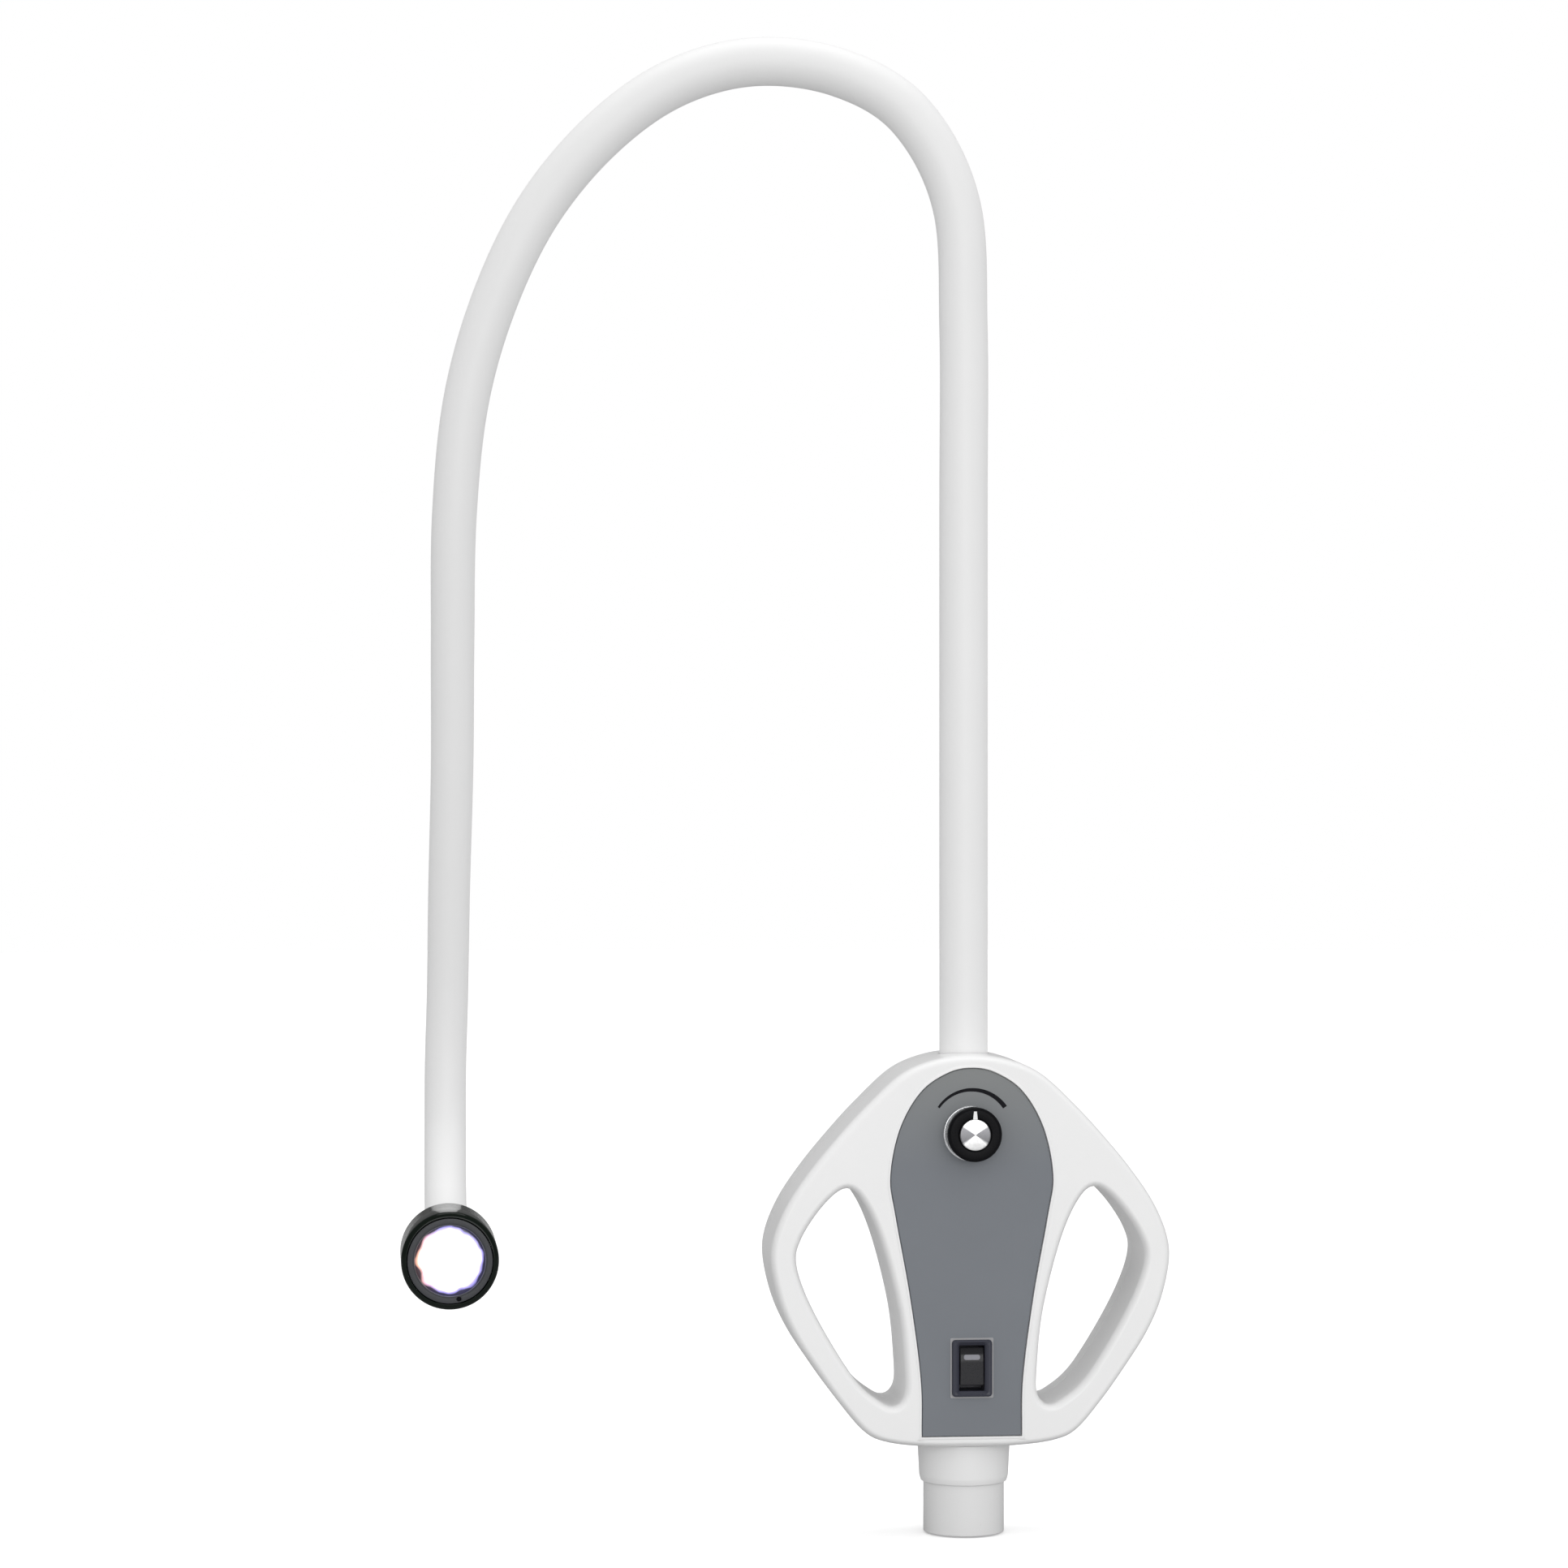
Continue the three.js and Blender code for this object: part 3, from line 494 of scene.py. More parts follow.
def grown_mesh(name, source, tree, values, more=None):
    """The plain mesh that a geometry tree makes from a source mesh, with its named inputs set."""
    carrier = bpy.data.objects.new(name, source)
    scene.collection.objects.link(carrier)
    made = carrier.modifiers.new("nodes", "NODES")
    made.node_group = tree
    for item in tree.interface.items_tree:
        if item.in_out == "INPUT" and item.name in values:
            made[item.identifier] = values[item.name]
    if more:
        more(carrier)
    bpy.context.view_layer.update()
    result = bpy.data.meshes.new_from_object(carrier.evaluated_get(bpy.context.evaluated_depsgraph_get()))
    carrier.modifiers.clear()
    bpy.data.objects.remove(carrier)
    return result


tree = nodes_tree("screws_in_pockets", [
    ("Screw", "Object", None), ("Turn", "Float", SCREW_TURN), ("Finish", "Material", None),
])
given = node(tree, "NodeGroupInput").outputs
shape = node(tree, "GeometryNodeObjectInfo", {"Object": given["Screw"]}).outputs["Geometry"]
number = node(tree, "GeometryNodeInputIndex").outputs[0]
amount = node(tree, "ShaderNodeMath", {0: number, 1: given["Turn"]}, operation="MULTIPLY").outputs[0]
spin = node(tree, "ShaderNodeCombineXYZ", {"Y": amount}).outputs[0]
copies = node(tree, "GeometryNodeInstanceOnPoints", {"Points": given["Geometry"], "Instance": shape, "Rotation": spin})
real = node(tree, "GeometryNodeRealizeInstances", {0: copies.outputs[0]}).outputs[0]
coated = node(tree, "GeometryNodeSetMaterial", {"Geometry": real, "Material": given["Finish"]}).outputs[0]
node(tree, "NodeGroupOutput", {0: coated})
places = bpy.data.meshes.new("screw_places")
places.from_pydata([(x * MM, 0, z * MM) for x, z in SCREW_PLACES], [], [])
screws = grown_mesh("screws", places, tree, {"Screw": screw, "Turn": SCREW_TURN, "Finish": steel})
placed(screws, "housing_screws", "housing", "steel", steel, *[f"housing_screw_{i}" for i in range(1, 5)])
bpy.data.objects.remove(screw)


# ---- control panel ----
# A keyhole-shaped sheet of matte grey plastic in the housing's rebate, a little paler towards its top as a
# painted highlight from above, with a printed wedge above the knob that shows which way the lamp gets brighter.
KNOB_Z, ROCKER_Z = 158.4, 67.0
HIGHLIGHT_FROM, HIGHLIGHT_TO, HIGHLIGHT_SHARE, HIGHLIGHT_GREY = 0.145, 0.182, 0.55, (0.25, 0.255, 0.24, 1)
PANEL_BREAK, KNOB_HOLE, SWITCH_HOLE = 0.25, 5, (14.1, 20.1, 0.5)
panel_grey = surface("matte_grey_panel", (0.170, 0.184, 0.205), 0.5, grain=2200.0, relief=0.000015, mottle=0.05)
tree = panel_grey.node_tree
tint = tree.nodes["Principled BSDF"].inputs["Base Color"].links[0].from_socket
# painted highlight: the panel's colour turns paler towards its top, where the light from above falls on it
up = node(tree, "ShaderNodeSeparateXYZ", {0: node(tree, "ShaderNodeTexCoord").outputs["Object"]}).outputs["Z"]
painted_highlight_share = node(tree, "ShaderNodeMapRange", {0: up, 1: HIGHLIGHT_FROM, 2: HIGHLIGHT_TO, 3: 0.0, 4: HIGHLIGHT_SHARE}).outputs[0]
pale = node(tree, "ShaderNodeMix", {0: painted_highlight_share, 6: tint, 7: HIGHLIGHT_GREY}, data_type="RGBA").outputs[2]
tree.links.new(pale, tree.nodes["Principled BSDF"].inputs["Base Color"])


def rounded_rectangle(width, height, radius, z, steps=6):
    loop = []
    for quarter, (side_x, side_z) in enumerate(((1, 1), (-1, 1), (-1, -1), (1, -1))):
        for k in range(steps + 1):
            angle = (quarter + k / steps) * math.pi / 2
            loop.append(Vector((
                side_x * (width / 2 - radius) + radius * math.cos(angle),
                z + side_z * (height / 2 - radius) + radius * math.sin(angle),
            )))
    return loop


panel = Moulding()
back_face = PANEL_FACE + PANEL_THICKNESS
ends = []
knob_hole, switch_hole = circle(0, KNOB_Z, KNOB_HOLE), rounded_rectangle(*SWITCH_HOLE, ROCKER_Z)
for loop, way in ((panel_outline, 1), (knob_hole, -1), (switch_hole, -1)):
    rings = [
        panel.ring(grown(loop, -way * PANEL_BREAK), PANEL_FACE), panel.ring(loop, PANEL_FACE + PANEL_BREAK),
        panel.ring(loop, back_face),
    ]
    panel.wall(*rings)
    ends.append((rings[0], rings[-1]))
panel.cap(*[first for first, last in ends])
panel.cap(*[last for first, last in ends])
finished(panel.bm, "control_panel_sheet", "housing", "panel_grey", panel_grey, "control_panel")


def slab(loop, front_y, back_y):
    """A thin flat shape between two planes across Y."""
    made = Moulding()
    rings = [made.ring(loop, y) for y in (front_y, back_y)]
    made.wall(*rings)
    for ring in rings:
        made.cap(ring)
    return made.bm


ink_and_painted_shade = surface("black_print_and_painted_shade", (0.006, 0.006, 0.009), 0.6, grain=3000.0, relief=0.000004, specular_ior_level=0.15)
WEDGE_Z, WEDGE_RADIUS, WEDGE_SPREAD, WEDGE_THIN, WEDGE_THICK, WEDGE_STEPS = KNOB_Z + 1, 15.8, 55.5, 0.9, 1.8, 48
inner_side, outer_side = [], []
for k in range(WEDGE_STEPS + 1):
    share = k / WEDGE_STEPS
    angle = math.radians(90 + WEDGE_SPREAD * (1 - 2 * share))
    half = (WEDGE_THIN + (WEDGE_THICK - WEDGE_THIN) * share) / 2
    for side, r in ((inner_side, WEDGE_RADIUS - half), (outer_side, WEDGE_RADIUS + half)):
        side.append(Vector((r * math.cos(angle), WEDGE_Z + r * math.sin(angle))))
wedge = slab(inner_side + outer_side[::-1], PANEL_FACE - 0.06, PANEL_FACE + 0.02)
finished(wedge, "brightness_wedge", "housing", "black_moulding", ink_and_painted_shade)


# ---- dimmer knob ----
# A turned aluminium ring on the panel, a hair off the knob's axis, and a black knob with a plain skirt,
# a spun aluminium disc in its face and a white pointer line from the disc to the rim.
RING_CENTRE = (-0.45, KNOB_Z - 0.15)
KNOB_FOOT, KNOB_FACE, DISC_RADIUS = -24.8, -33.6, 6.1
spun = surface("spun_aluminium", (0.72, 0.73, 0.75), 0.24, metallic=1.0, grain=2500.0, relief=0.000004)
ring_section = softened([(8.8, -23.9), (10.8, -23.9), (10.8, -24.3), (10.5, -24.5), (8.8, -24.5)], 0.15)
finished(turned(ring_section, RING_CENTRE), "knob_trim_ring", "housing", "aluminium", spun, "knob_ring")

black_moulding = surface("black_moulding", (0.006, 0.006, 0.007), 0.28, grain=1800.0, relief=0.000012,
                         mottle=0.1, specular_ior_level=0.06)
bm = turned(softened([
    (8.3, KNOB_FOOT), (10.3, KNOB_FOOT), (10.6, KNOB_FACE + 0.9), (9.8, KNOB_FACE), (6.4, KNOB_FACE),
    (6.4, KNOB_FACE + 0.8), (0, KNOB_FACE + 0.8), (0, -31.9), (3.2, -31.9), (3.2, -28.5), (8.3, -28.5),
], 0.5), (0, KNOB_Z), sides=144)
finished(bm, "dimmer_knob_body", "knob", "black_moulding", black_moulding, "dimmer_knob")

# painted reflection: two pale fans and two dark ones are painted into the disc's colour by angle, as its fine turning
# marks would catch the light
DISC_DARK, DISC_PALE, GROOVES_PER_METRE = (0.20, 0.20, 0.21, 1), (0.95, 0.95, 0.95, 1), 30000.0
disc_metal = surface("spun_disc", (0.66, 0.67, 0.69), 0.2, metallic=1.0, grain=2500.0, relief=0.0, mottle=0.02,
                     anisotropic=0.4)
tree = disc_metal.node_tree
shader = tree.nodes["Principled BSDF"]
place = node(tree, "ShaderNodeTexCoord").outputs["Object"]
centred = node(tree, "ShaderNodeVectorMath", {0: place, 1: (0, 0, KNOB_Z * MM)}, operation="SUBTRACT").outputs[0]
parts = node(tree, "ShaderNodeSeparateXYZ", {0: centred}).outputs
angle = node(tree, "ShaderNodeMath", {0: parts["Z"], 1: parts["X"]}, operation="ARCTAN2").outputs[0]
doubled = node(tree, "ShaderNodeMath", {0: angle, 1: 2.0}, operation="MULTIPLY").outputs[0]
wave = node(tree, "ShaderNodeMath", {0: doubled}, operation="COSINE").outputs[0]
share = node(tree, "ShaderNodeMapRange", {0: wave, 1: 0.5, 2: 0.1, 3: 0.0, 4: 1.0}).outputs[0]
painted_reflection_fans = node(tree, "ShaderNodeMix", {0: share, 6: DISC_DARK, 7: DISC_PALE}, data_type="RGBA")
tree.links.new(painted_reflection_fans.outputs[2], shader.inputs["Base Color"])
around = node(tree, "ShaderNodeTangent", direction_type="RADIAL", axis="Y").outputs[0]
tree.links.new(around, shader.inputs["Tangent"])
turns = node(tree, "ShaderNodeVectorMath", {0: centred}, operation="LENGTH").outputs["Value"]
groove = node(tree, "ShaderNodeMath", {0: turns, 1: GROOVES_PER_METRE}, operation="MULTIPLY").outputs[0]
wavy = node(tree, "ShaderNodeMath", {0: groove}, operation="SINE").outputs[0]
cutting = node(tree, "ShaderNodeBump", {"Height": wavy, "Strength": 0.2, "Distance": 0.000004}).outputs[0]
tree.links.new(cutting, shader.inputs["Normal"])
disc = softened([
    (0, KNOB_FACE + 0.5), (DISC_RADIUS, KNOB_FACE + 0.5), (DISC_RADIUS, KNOB_FACE - 0.2),
    (DISC_RADIUS - 0.3, KNOB_FACE - 0.4), (0, KNOB_FACE - 0.4),
], 0.15)
finished(turned(disc, (0, KNOB_Z)), "knob_face_disc", "knob", "aluminium", disc_metal, "knob_disc")

white_print = surface("white_pointer", (0.82, 0.82, 0.82), 0.4, grain=2500.0, relief=0.000004)
POINTER_LINE = [(-0.9, 5.9), (0.9, 5.9), (0.55, 9.1), (-0.55, 9.1)]  # from the knob's centre
pointer = slab([Vector((x, KNOB_Z + up)) for x, up in POINTER_LINE], KNOB_FACE - 0.07, KNOB_FACE + 0.1)
finished(pointer, "knob_pointer_line", "knob", "white_moulding", white_print)


# ---- rocker switch ----
# A bought-in miniature switch, clipped into the panel: a black frame with a thin lip on a pale rim that is a
# painted highlight, and a rocker with a ridge near its top and a pale bar on it, also a painted highlight. It stays
# pressed at the top while lit.
frame_black = surface("switch_frame_black", (0.035, 0.037, 0.055), 0.4, grain=2200.0, relief=0.00001, mottle=0.1)
rocker_black = surface("rocker_black", (0.020, 0.020, 0.023), 0.3, grain=2200.0, relief=0.000012, mottle=0.1,
                       specular_ior_level=0.3)
BEZEL_WIDTH, BEZEL_HEIGHT, WELL_WIDTH, WELL_HEIGHT = 15.7, 22.1, 10.0, 17.8
BODY_WIDTH, BODY_HEIGHT = 13.6, 19.6
LIP_BACK, LIP_FRONT, BODY_BACK, WELL_FLOOR = -23.9, -25.3, -8.0, -13.5
PIVOT_Y, ROCKER_TILT = -19.6, 10.0
switch = Moulding()
outside = rounded_rectangle(BEZEL_WIDTH, BEZEL_HEIGHT, 1.4, ROCKER_Z)
well = rounded_rectangle(WELL_WIDTH, WELL_HEIGHT, 0.3, ROCKER_Z)
body = rounded_rectangle(BODY_WIDTH, BODY_HEIGHT, 0.5, ROCKER_Z)
rings = [
    switch.ring(body, BODY_BACK), switch.ring(body, LIP_BACK), switch.ring(outside, LIP_BACK),
    switch.ring(outside, LIP_FRONT + 0.8), switch.ring(grown(outside, -0.25), LIP_FRONT + 0.25),
    switch.ring(grown(outside, -0.8), LIP_FRONT), switch.ring(grown(well, 1.3), LIP_FRONT + 0.1),
    switch.ring(grown(well, 0.5), LIP_FRONT + 0.7), switch.ring(well, LIP_FRONT + 1.3), switch.ring(well, WELL_FLOOR),
]
switch.wall(*rings)
switch.cap(rings[0])
switch.cap(rings[-1])
finished(switch.bm, "rocker_switch_frame", "housing", "black_moulding", frame_black, "rocker_frame", sharp=30)

# a thin pale rim round the frame's lip gives the lip's edge its light outline: a painted highlight
highlight_rim_finish = surface("highlight_rim_finish", (0.33, 0.33, 0.34), 0.6, grain=2200.0)
HIGHLIGHT_RIM_WIDTH, HIGHLIGHT_RIM_BORE, HIGHLIGHT_RIM_EXTRA_HEIGHT, HIGHLIGHT_RIM_FOOT = 17, 15.2, 6.5, PANEL_FACE - 0.02
highlight_rim = Moulding()
rings = [
    highlight_rim.ring(rounded_rectangle(wide, wide + HIGHLIGHT_RIM_EXTRA_HEIGHT, 0.6, ROCKER_Z), y)
    for wide, y in (
        (HIGHLIGHT_RIM_BORE, HIGHLIGHT_RIM_FOOT), (HIGHLIGHT_RIM_WIDTH, HIGHLIGHT_RIM_FOOT), (HIGHLIGHT_RIM_WIDTH, LIP_BACK + 0.15),
        (HIGHLIGHT_RIM_WIDTH - 0.2, LIP_BACK), (HIGHLIGHT_RIM_BORE, LIP_BACK),
    )
]
highlight_rim.wall(*rings, rings[0])
finished(highlight_rim.bm, "switch_gasket", "housing", "grey_nylon", highlight_rim_finish)

# the rocker's side view about its pivot, as (towards the front, up), with a ridge near its upper end
RIDGE, RIDGE_LOW, RIDGE_HIGH, SLOPE_ABOVE, SLOPE_BELOW = 5.2, 2.2, 4.6, 0.34, 0.18
ROCKER_HALF_HEIGHT, ROCKER_STEPS, ROCKER_GAP, ROCKER_BREAK = 7.4, 16, 0.3, 0.35
side = []
for k in range(ROCKER_STEPS + 1):
    up = ROCKER_HALF_HEIGHT * (1 - 2 * k / ROCKER_STEPS)
    side.append((RIDGE - max(up - RIDGE_HIGH, 0) * SLOPE_ABOVE - max(RIDGE_LOW - up, 0) * SLOPE_BELOW, up))
side += [(1, -6.9), (-2.4, -3), (-3, 0), (-2.4, 3), (1, 6.9)]
side = softened(side, 0.6, 3)
paddle = Moulding()
wide = WELL_WIDTH / 2 - ROCKER_GAP
flat = wide - ROCKER_BREAK
tilt = math.radians(ROCKER_TILT)
rings = []
for x, inset in ((-wide, ROCKER_BREAK), (-flat, 0), (flat, 0), (wide, ROCKER_BREAK)):
    ring = []
    for f, u in side:
        reach = math.hypot(f, u)
        f, u = f * (1 - inset / reach), u * (1 - inset / reach)
        y, z = -f, u
        y, z = y * math.cos(tilt) + z * math.sin(tilt), -y * math.sin(tilt) + z * math.cos(tilt)
        ring.append(paddle.bm.verts.new(Vector((x, PIVOT_Y + y, ROCKER_Z + z)) * MM))
    rings.append(ring)
paddle.wall(*rings)
for ring in (rings[0], rings[-1]):
    paddle.bm.faces.new(ring)
finished(paddle.bm, "rocker_paddle", "rocker", "black_moulding", rocker_black, "rocker", sharp=30)

# a pale bar along the ridge is a painted highlight
rocker_painted_highlight = surface("rocker_painted_highlight", (0.22, 0.22, 0.25), 0.4, grain=2500.0, relief=0.000004)
BAR_WIDTH, BAR_HEIGHT, BAR_CORNER, BAR_PLACE = 6.3, 2.0, 0.8, (RIDGE_LOW + RIDGE_HIGH) / 2
bar = slab(rounded_rectangle(BAR_WIDTH, BAR_HEIGHT, BAR_CORNER, BAR_PLACE), -RIDGE - 0.05, -RIDGE + 0.05)
lean = Matrix.Translation((0, PIVOT_Y * MM, ROCKER_Z * MM)) @ Matrix.Rotation(-tilt, 4, "X")
bmesh.ops.transform(bar, matrix=lean, verts=bar.verts)
finished(bar, "rocker_pale_bar", "rocker", "white_moulding", rocker_painted_highlight)


# ---- neck ----
# A wound steel gooseneck inside one smooth sleeve of matte white vinyl, from the housing up, over and
# down to the head. The sleeve is ten lengths of one tube that meet halfway between the neck's bends.
NECK_LINE = [
    (0, 0, 166), (0, 0, 246), (0, 0, 326), (0, 0, 406), (0, 0, 473), (-3, 0, 523), (-21, 1, 557.5),
    (-49, 3, 574.3), (-83, 5, 578.3), (-115, 8, 569.3), (-143, 12, 549), (-167, 17, 520), (-184, 22, 485),
    (-195, 28, 446), (-199.5, 35, 401), (-200, 45, 351), (-200, 55.5, 301), (-201, 66, 251), (-201.5, 73, 210),
    (-202.3, 74.5, 180), (-202.5, 70.5, 152.8), (-202.7, 56.5, 130.6), (-202.7, 37, 117.6), (-202.7, 14, 113),
    (-202.7, -10, 113), (-202.7, -34, 113),
]
BENDS = [70, 165, 260, 355, 440, 525, 625, 730, 835, 935]
SLEEVE_START, SLEEVE_END, SLEEVE_WALL = 15.5, 1022.0, 1.3
BASE_RADIUS, HEAD_RADIUS, TAPER_FROM, TAPER_TO = 9.525, 8.4, 450.0, 900.0
BEND_REACH, HEAD_BEND_REACH = 42.0, 20.0  # the head's bend has the shorter reach; the reach is read below but nothing bends the neck
RINGS, SIDES, LINE_STEPS = 672, 64, 60

vinyl = surface("matte_white_vinyl", (0.80, 0.80, 0.80), 0.5, grain=1100.0, relief=0.000018, mottle=0.012,
                sheen_weight=0.5, sheen_roughness=0.6)
fine_line = smooth_line(NECK_LINE, False, LINE_STEPS)
neck_lengths = [0.0]
for a, b in zip(fine_line, fine_line[1:]):
    neck_lengths.append(neck_lengths[-1] + (b - a).length)


tree = nodes_tree("vinyl_sleeve", [
    ("Start", "Float", 0.0), ("End", "Float", 1.0), ("Rings", "Int", RINGS), ("First Ring", "Int", 0),
    ("Last Ring", "Int", 60), ("Sides", "Int", SIDES), ("Base Radius", "Float", 0.01), ("Head Radius", "Float", 0.009),
    ("Taper From", "Float", 0.4), ("Taper To", "Float", 0.9), ("Finish", "Material", None),
])
given = node(tree, "NodeGroupInput").outputs
line = node(tree, "GeometryNodeMeshToCurve", {0: given["Geometry"]}).outputs[0]
piece_line = node(tree, "GeometryNodeTrimCurve", mode="LENGTH")
tree.links.new(line, piece_line.inputs["Curve"])
tree.links.new(given["Start"], piece_line.inputs[4])
tree.links.new(given["End"], piece_line.inputs[5])
even = node(tree, "GeometryNodeResampleCurve", {"Curve": piece_line.outputs[0], "Count": given["Rings"]})
along = node(tree, "GeometryNodeSplineParameter").outputs["Length"]
reach = node(tree, "ShaderNodeMath", {0: along, 1: given["Start"]}, operation="ADD").outputs[0]
radius = node(tree, "ShaderNodeMapRange", {
    0: reach, 1: given["Taper From"], 2: given["Taper To"], 3: given["Base Radius"], 4: given["Head Radius"],
}, interpolation_type="SMOOTHSTEP").outputs[0]
sized = node(tree, "GeometryNodeSetCurveRadius", {"Curve": even.outputs[0], "Radius": radius}).outputs[0]
profile = node(tree, "GeometryNodeCurvePrimitiveCircle", {"Resolution": given["Sides"], "Radius": 1.0}).outputs[0]
skin = node(tree, "GeometryNodeCurveToMesh", {"Curve": sized, "Profile Curve": profile})
if "Scale" in skin.inputs:
    tree.links.new(node(tree, "GeometryNodeInputRadius").outputs[0], skin.inputs["Scale"])
# the vertices of ring n are numbered from n times the number of sides
index = node(tree, "GeometryNodeInputIndex").outputs[0]
turn = node(tree, "ShaderNodeMath", {0: index, 1: given["Sides"]}, operation="DIVIDE").outputs[0]
ring_number = node(tree, "ShaderNodeMath", {0: turn}, operation="FLOOR").outputs[0]
before = node(tree, "ShaderNodeMath", {0: ring_number, 1: given["First Ring"]}, operation="LESS_THAN").outputs[0]
after = node(tree, "ShaderNodeMath", {0: ring_number, 1: given["Last Ring"]}, operation="GREATER_THAN").outputs[0]
outside = node(tree, "ShaderNodeMath", {0: before, 1: after}, operation="ADD").outputs[0]
length_of_tube = node(tree, "GeometryNodeDeleteGeometry", {"Geometry": skin.outputs[0], "Selection": outside})
real = node(tree, "GeometryNodeRealizeInstances", {0: length_of_tube.outputs[0]}).outputs[0]
coated = node(tree, "GeometryNodeSetMaterial", {"Geometry": real, "Material": given["Finish"]}).outputs[0]
node(tree, "NodeGroupOutput", {0: coated})


def give_wall(carrier):
    wall = carrier.modifiers.new("wall", "SOLIDIFY")
    wall.thickness, wall.offset = SLEEVE_WALL * MM, -1


seams = [SLEEVE_START] + [(a + b) / 2 for a, b in zip(BENDS, BENDS[1:])] + [SLEEVE_END]
seam_rings = [round((seam - SLEEVE_START) / (SLEEVE_END - SLEEVE_START) * (RINGS - 1)) for seam in seams]
for i, bend in enumerate(BENDS):
    path = bpy.data.meshes.new("neck_path")
    path.from_pydata([p * MM for p in fine_line], [(k, k + 1) for k in range(len(fine_line) - 1)], [])
    mesh = grown_mesh("sleeve", path, tree, {
        "Start": SLEEVE_START * MM, "End": SLEEVE_END * MM, "Rings": RINGS, "First Ring": seam_rings[i],
        "Last Ring": seam_rings[i + 1], "Sides": SIDES, "Finish": vinyl,
        "Base Radius": BASE_RADIUS * MM, "Head Radius": HEAD_RADIUS * MM,
        "Taper From": TAPER_FROM * MM, "Taper To": TAPER_TO * MM,
    }, give_wall)
    stands_for = [f"neck_sleeve_{i + 2}"] + (["neck_sleeve_1"] if i == 0 else [])
    sleeve = placed(mesh, f"neck_sleeve_length_{i + 1}", None, "white_sleeve", vinyl, *stands_for)
    reach = HEAD_BEND_REACH if bend == BENDS[-1] else BEND_REACH
    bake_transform(sleeve)


# ---- head ----
# A slim turned aluminium lamp head: a satin adaptor and rear cap, a gloss black barrel, and a satin ring
# screwed into its front that holds the lens. A pin hole in the ring takes the wrench that tightens it.
HEAD_X, HEAD_Z, HEAD_FRONT = -202.7, 113.0, -45.0
HEAD_CENTRE = (HEAD_X, HEAD_Z)
satin_black = surface("satin_slate_black", (0.030, 0.032, 0.038), 0.42, metallic=0.0, grain=1800.0, relief=0.00001,
                      mottle=0.12)
gloss_black = surface("gloss_black", (0.004, 0.007, 0.005), 0.12, grain=900.0, relief=0.000003, mottle=0.1,
                      specular_ior_level=0.18)

finished(turned(softened([
    (7.6, 13), (9.4, 13), (10, 12.3), (10.6, 8.5), (12.6, 5), (10.5, 5), (10.5, -1), (7.6, -1),
], 0.5), HEAD_CENTRE), "neck_adaptor_turned", "head", "satin_black", satin_black, "neck_adaptor")
finished(turned(softened([
    (10.8, 4.6), (13, 4.6), (15.4, 2.4), (17, -2), (17.6, -8), (16.5, -8), (16.5, -13), (14.5, -13),
    (14.5, -3.4), (10.8, -3.4),
], 0.9), HEAD_CENTRE), "head_rear_cap", "head", "satin_black", satin_black, "head_rear")
BARREL_RADIUS, BARREL_NOSE, BARREL_MOUTH = 18.6, 2.0, 16.5
nose = [
    (BARREL_RADIUS - BARREL_NOSE * (1 - math.cos(a)), HEAD_FRONT + BARREL_NOSE * (1 - math.sin(a)))
    for a in (math.pi / 2 * k / 10 for k in range(11))
]
finished(turned([
    (16.9, -8.3), (18.2, -8.3), (18.5, -8.5), (18.6, -8.9), *nose, (BARREL_MOUTH + 0.2, HEAD_FRONT),
    (BARREL_MOUTH, HEAD_FRONT + 0.2), (BARREL_MOUTH, -42.6), (16.9, -42.6),
], HEAD_CENTRE, sides=144), "head_barrel_tube", "head", "black_gloss", gloss_black, "head_barrel")

bm = turned(softened([
    (13.4, -42.3), (16.2, -42.3), (16.2, HEAD_FRONT + 0.4), (14.1, HEAD_FRONT + 0.4), (13.5, HEAD_FRONT + 0.9),
], 0.25), HEAD_CENTRE, sides=144)
front_ring = finished(bm, "lens_ring", "head", "satin_black", satin_black, "front_ring")

PIN_ANGLE, PIN_PLACE, PIN_RADIUS, PIN_DEPTH = math.radians(-77), 14.8, 0.9, 2.2
pin_centre = (HEAD_X + PIN_PLACE * math.cos(PIN_ANGLE), HEAD_Z + PIN_PLACE * math.sin(PIN_ANGLE))
pin_end = HEAD_FRONT + PIN_DEPTH
pin = turned([(0, HEAD_FRONT - 2), (PIN_RADIUS, HEAD_FRONT - 2), (PIN_RADIUS, pin_end), (0, pin_end)], pin_centre,
             sides=24)
cut(front_ring, solid(pin, "pin"))
# painted shade: a black disc at the floor of the pin hole makes the hole darker
floor_of_hole = turned([(0, -43.4), (0.83, -43.4), (0.83, -42.9), (0, -42.9)], pin_centre, sides=24)
finished(floor_of_hole, "ring_pin_hole", "head", "black_moulding", ink_and_painted_shade)

# the lens glows white, with lobed edges and coloured fringes where the beam ends
LOBES, LIT_LOW, LIT_HIGH = 8.0, 0.0112, 0.0127
VIOLET_FRINGE, RED_FRINGE = (0.45, 0.40, 1.0, 1), (1.0, 0.50, 0.36, 1)
lit_lens = bpy.data.materials.new("lit_lens")
lit_lens.use_nodes = True
tree = lit_lens.node_tree
shader = tree.nodes["Principled BSDF"]
place = node(tree, "ShaderNodeTexCoord").outputs["Object"]
head_centre = (HEAD_X * MM, 0, HEAD_Z * MM)
centred = node(tree, "ShaderNodeVectorMath", {0: place, 1: head_centre}, operation="SUBTRACT").outputs[0]
parts = node(tree, "ShaderNodeSeparateXYZ", {0: centred}).outputs
flat = node(tree, "ShaderNodeCombineXYZ", {"X": parts["X"], "Z": parts["Z"]}).outputs[0]
radius = node(tree, "ShaderNodeVectorMath", {0: flat}, operation="LENGTH").outputs["Value"]
angle = node(tree, "ShaderNodeMath", {0: parts["Z"], 1: parts["X"]}, operation="ARCTAN2").outputs[0]
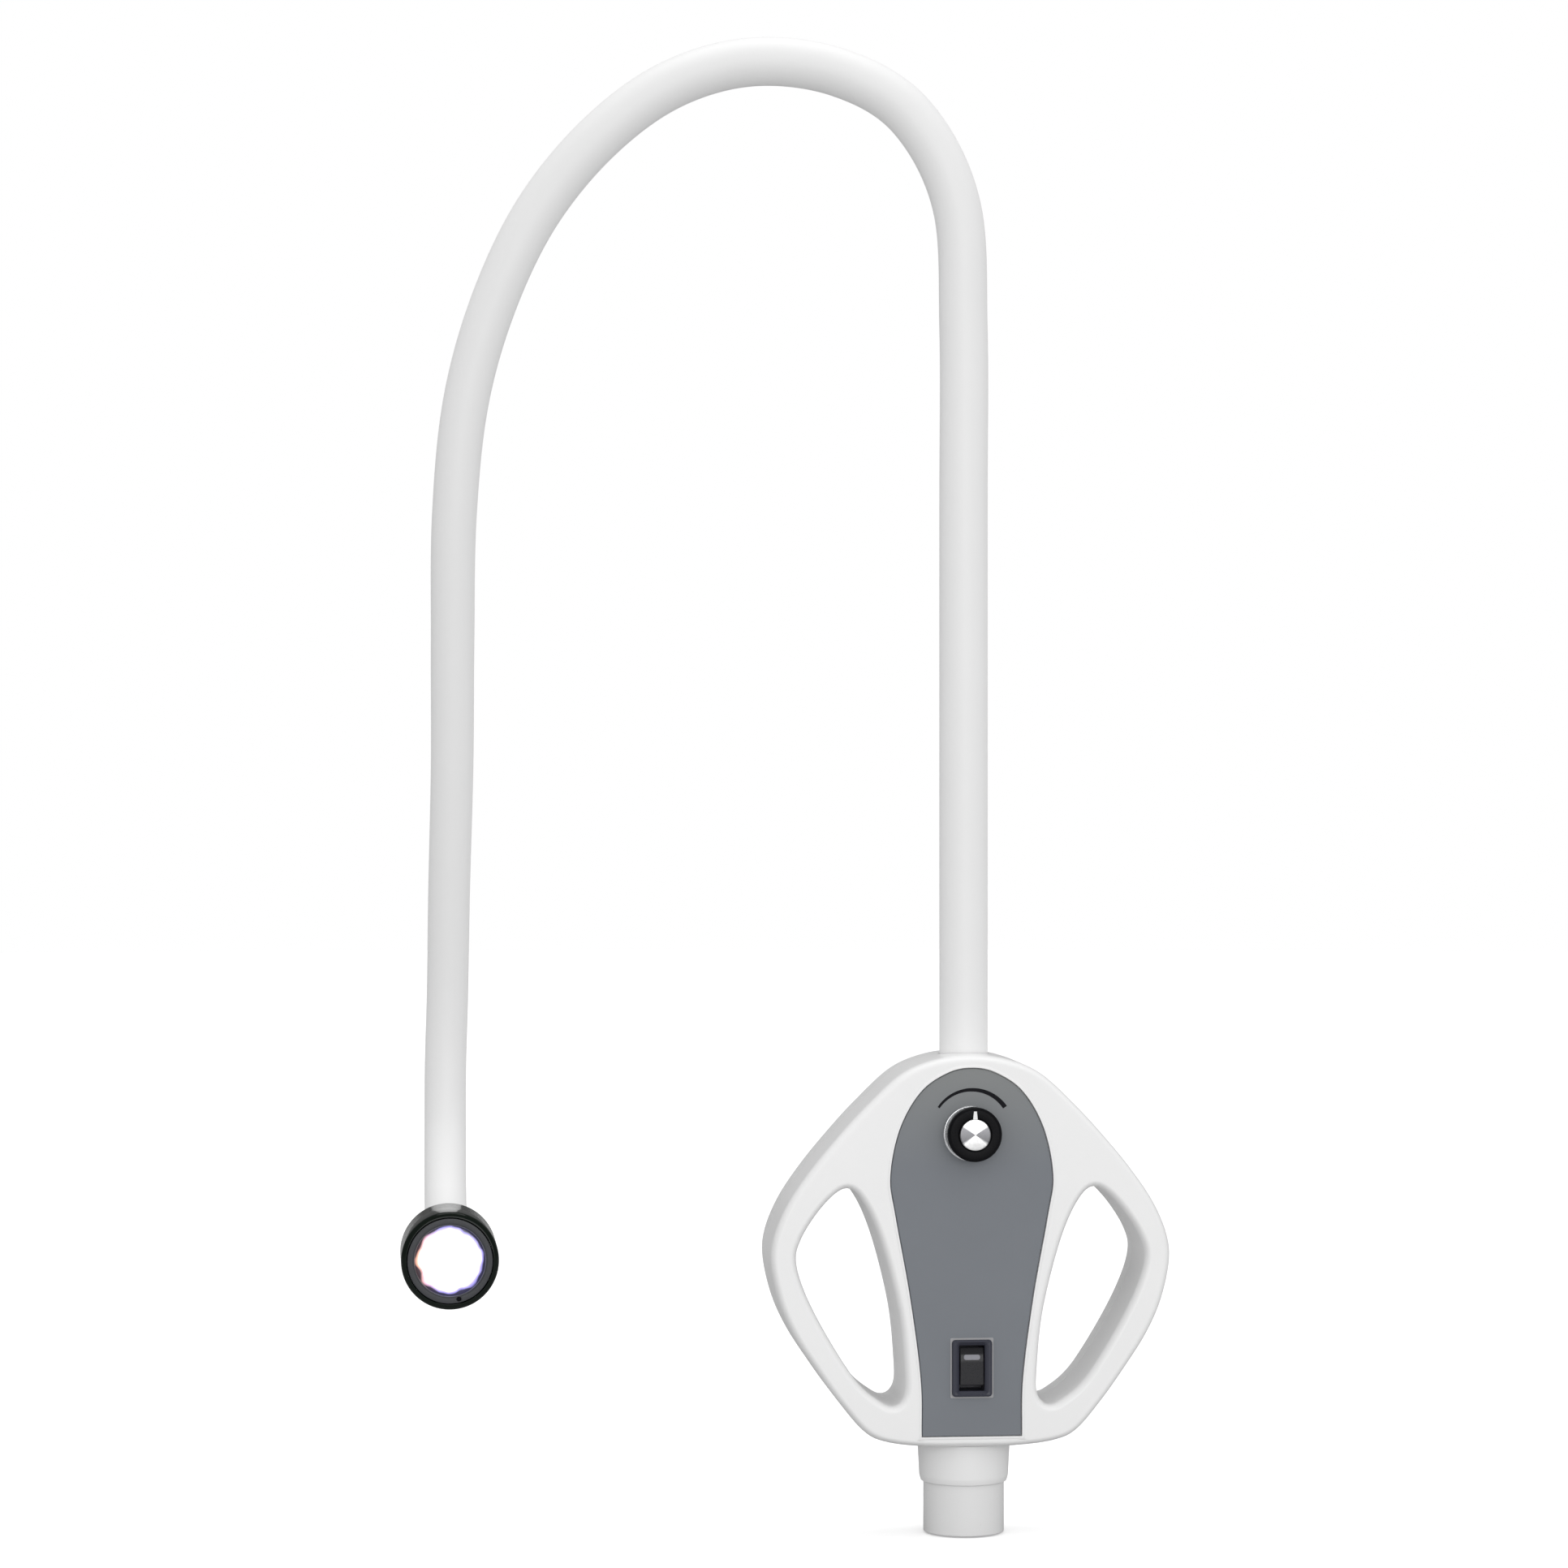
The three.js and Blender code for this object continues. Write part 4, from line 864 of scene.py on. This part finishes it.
lobes = node(tree, "ShaderNodeMath", {0: angle, 1: LOBES}, operation="MULTIPLY").outputs[0]
wave = node(tree, "ShaderNodeMath", {0: lobes}, operation="COSINE").outputs[0]
uneven = node(tree, "ShaderNodeTexNoise", {"Vector": flat, "Scale": 170.0, "Detail": 1.0}).outputs[0]
swing = node(tree, "ShaderNodeMapRange", {0: uneven, 1: 0.3, 2: 0.7, 3: -1.6, 4: 1.6}).outputs[0]
shape = node(tree, "ShaderNodeMath", {0: wave, 1: swing}, operation="ADD").outputs[0]
limit = node(tree, "ShaderNodeMapRange", {0: shape, 1: -2.0, 2: 2.0, 3: LIT_LOW, 4: LIT_HIGH}).outputs[0]
beyond = node(tree, "ShaderNodeMath", {0: radius, 1: limit}, operation="SUBTRACT").outputs[0]
dark = node(tree, "ShaderNodeMapRange", {0: beyond, 1: -0.0004, 2: 0.0009, 3: 0.0, 4: 1.0}).outputs[0]
fringe = node(tree, "ShaderNodeMapRange", {0: beyond, 1: -0.0016, 2: 0.0, 3: 0.0, 4: 1.0}).outputs[0]
left = node(tree, "ShaderNodeMapRange", {0: parts["X"], 1: -0.012, 2: -0.004, 3: 1.0, 4: 0.0}).outputs[0]
edge = node(tree, "ShaderNodeMix", {0: left, 6: VIOLET_FRINGE, 7: RED_FRINGE}, data_type="RGBA").outputs[2]
glow = node(tree, "ShaderNodeMix", {0: fringe, 6: (1.0, 1.0, 1.0, 1), 7: edge}, data_type="RGBA").outputs[2]
power = node(tree, "ShaderNodeMapRange", {0: dark, 1: 0.0, 2: 1.0, 3: 2.2, 4: 0.05}).outputs[0]
tree.links.new(glow, shader.inputs["Emission Color"])
tree.links.new(power, shader.inputs["Emission Strength"])
shader.inputs["Base Color"].default_value = (0.05, 0.05, 0.08, 1)
shader.inputs["Roughness"].default_value = 0.1
finished(turned(softened([
    (0, -39.4), (14.2, -39.4), (14.2, -41.2), (12, -41.6), (6, -41.9), (0, -42),
], 0.3), HEAD_CENTRE, sides=144), "lens_lit", "head", "lens", lit_lens, "lens")


# ---- inner pieces ----
# Everything that the housing, the sleeve and the barrel hide keeps its own shape and takes the finish
# of its material.
inner_finish = {
    "steel": steel,
    "aluminium": surface("cast_aluminium", (0.62, 0.63, 0.64), 0.35, metallic=1.0, grain=1500.0),
    "brass": surface("brass", (0.60, 0.42, 0.14), 0.3, metallic=1.0, grain=1500.0),
    "rubber": surface("black_rubber", (0.012, 0.012, 0.012), 0.7, grain=1200.0, relief=0.00003),
    "grey_nylon": surface("grey_nylon", (0.26, 0.27, 0.29), 0.5, grain=1200.0, relief=0.00002),
    "cable": surface("cable_jacket", (0.62, 0.62, 0.60), 0.5, grain=1200.0),
    "board": surface("circuit_board", (0.012, 0.10, 0.045), 0.4, grain=800.0),
    "emitter": surface("led_phosphor", (0.85, 0.72, 0.22), 0.4, grain=2000.0),
    "mirror": surface("bright_reflector", (0.86, 0.87, 0.89), 0.06, metallic=1.0, relief=0.000002),
    "lens": lit_lens,
    "white_paint": white_paint,
    "white_moulding": white_moulding,
    "white_sleeve": vinyl,
    "panel_grey": panel_grey,
    "black_moulding": black_moulding,
    "black_gloss": gloss_black,
    "satin_black": satin_black,
}
for part in frame["record"]["subparts"]:
    inner = frame["nodes"][part["node"]]
    inner.data.materials.clear()
    inner.data.materials.append(inner_finish[part["material_slot"]])
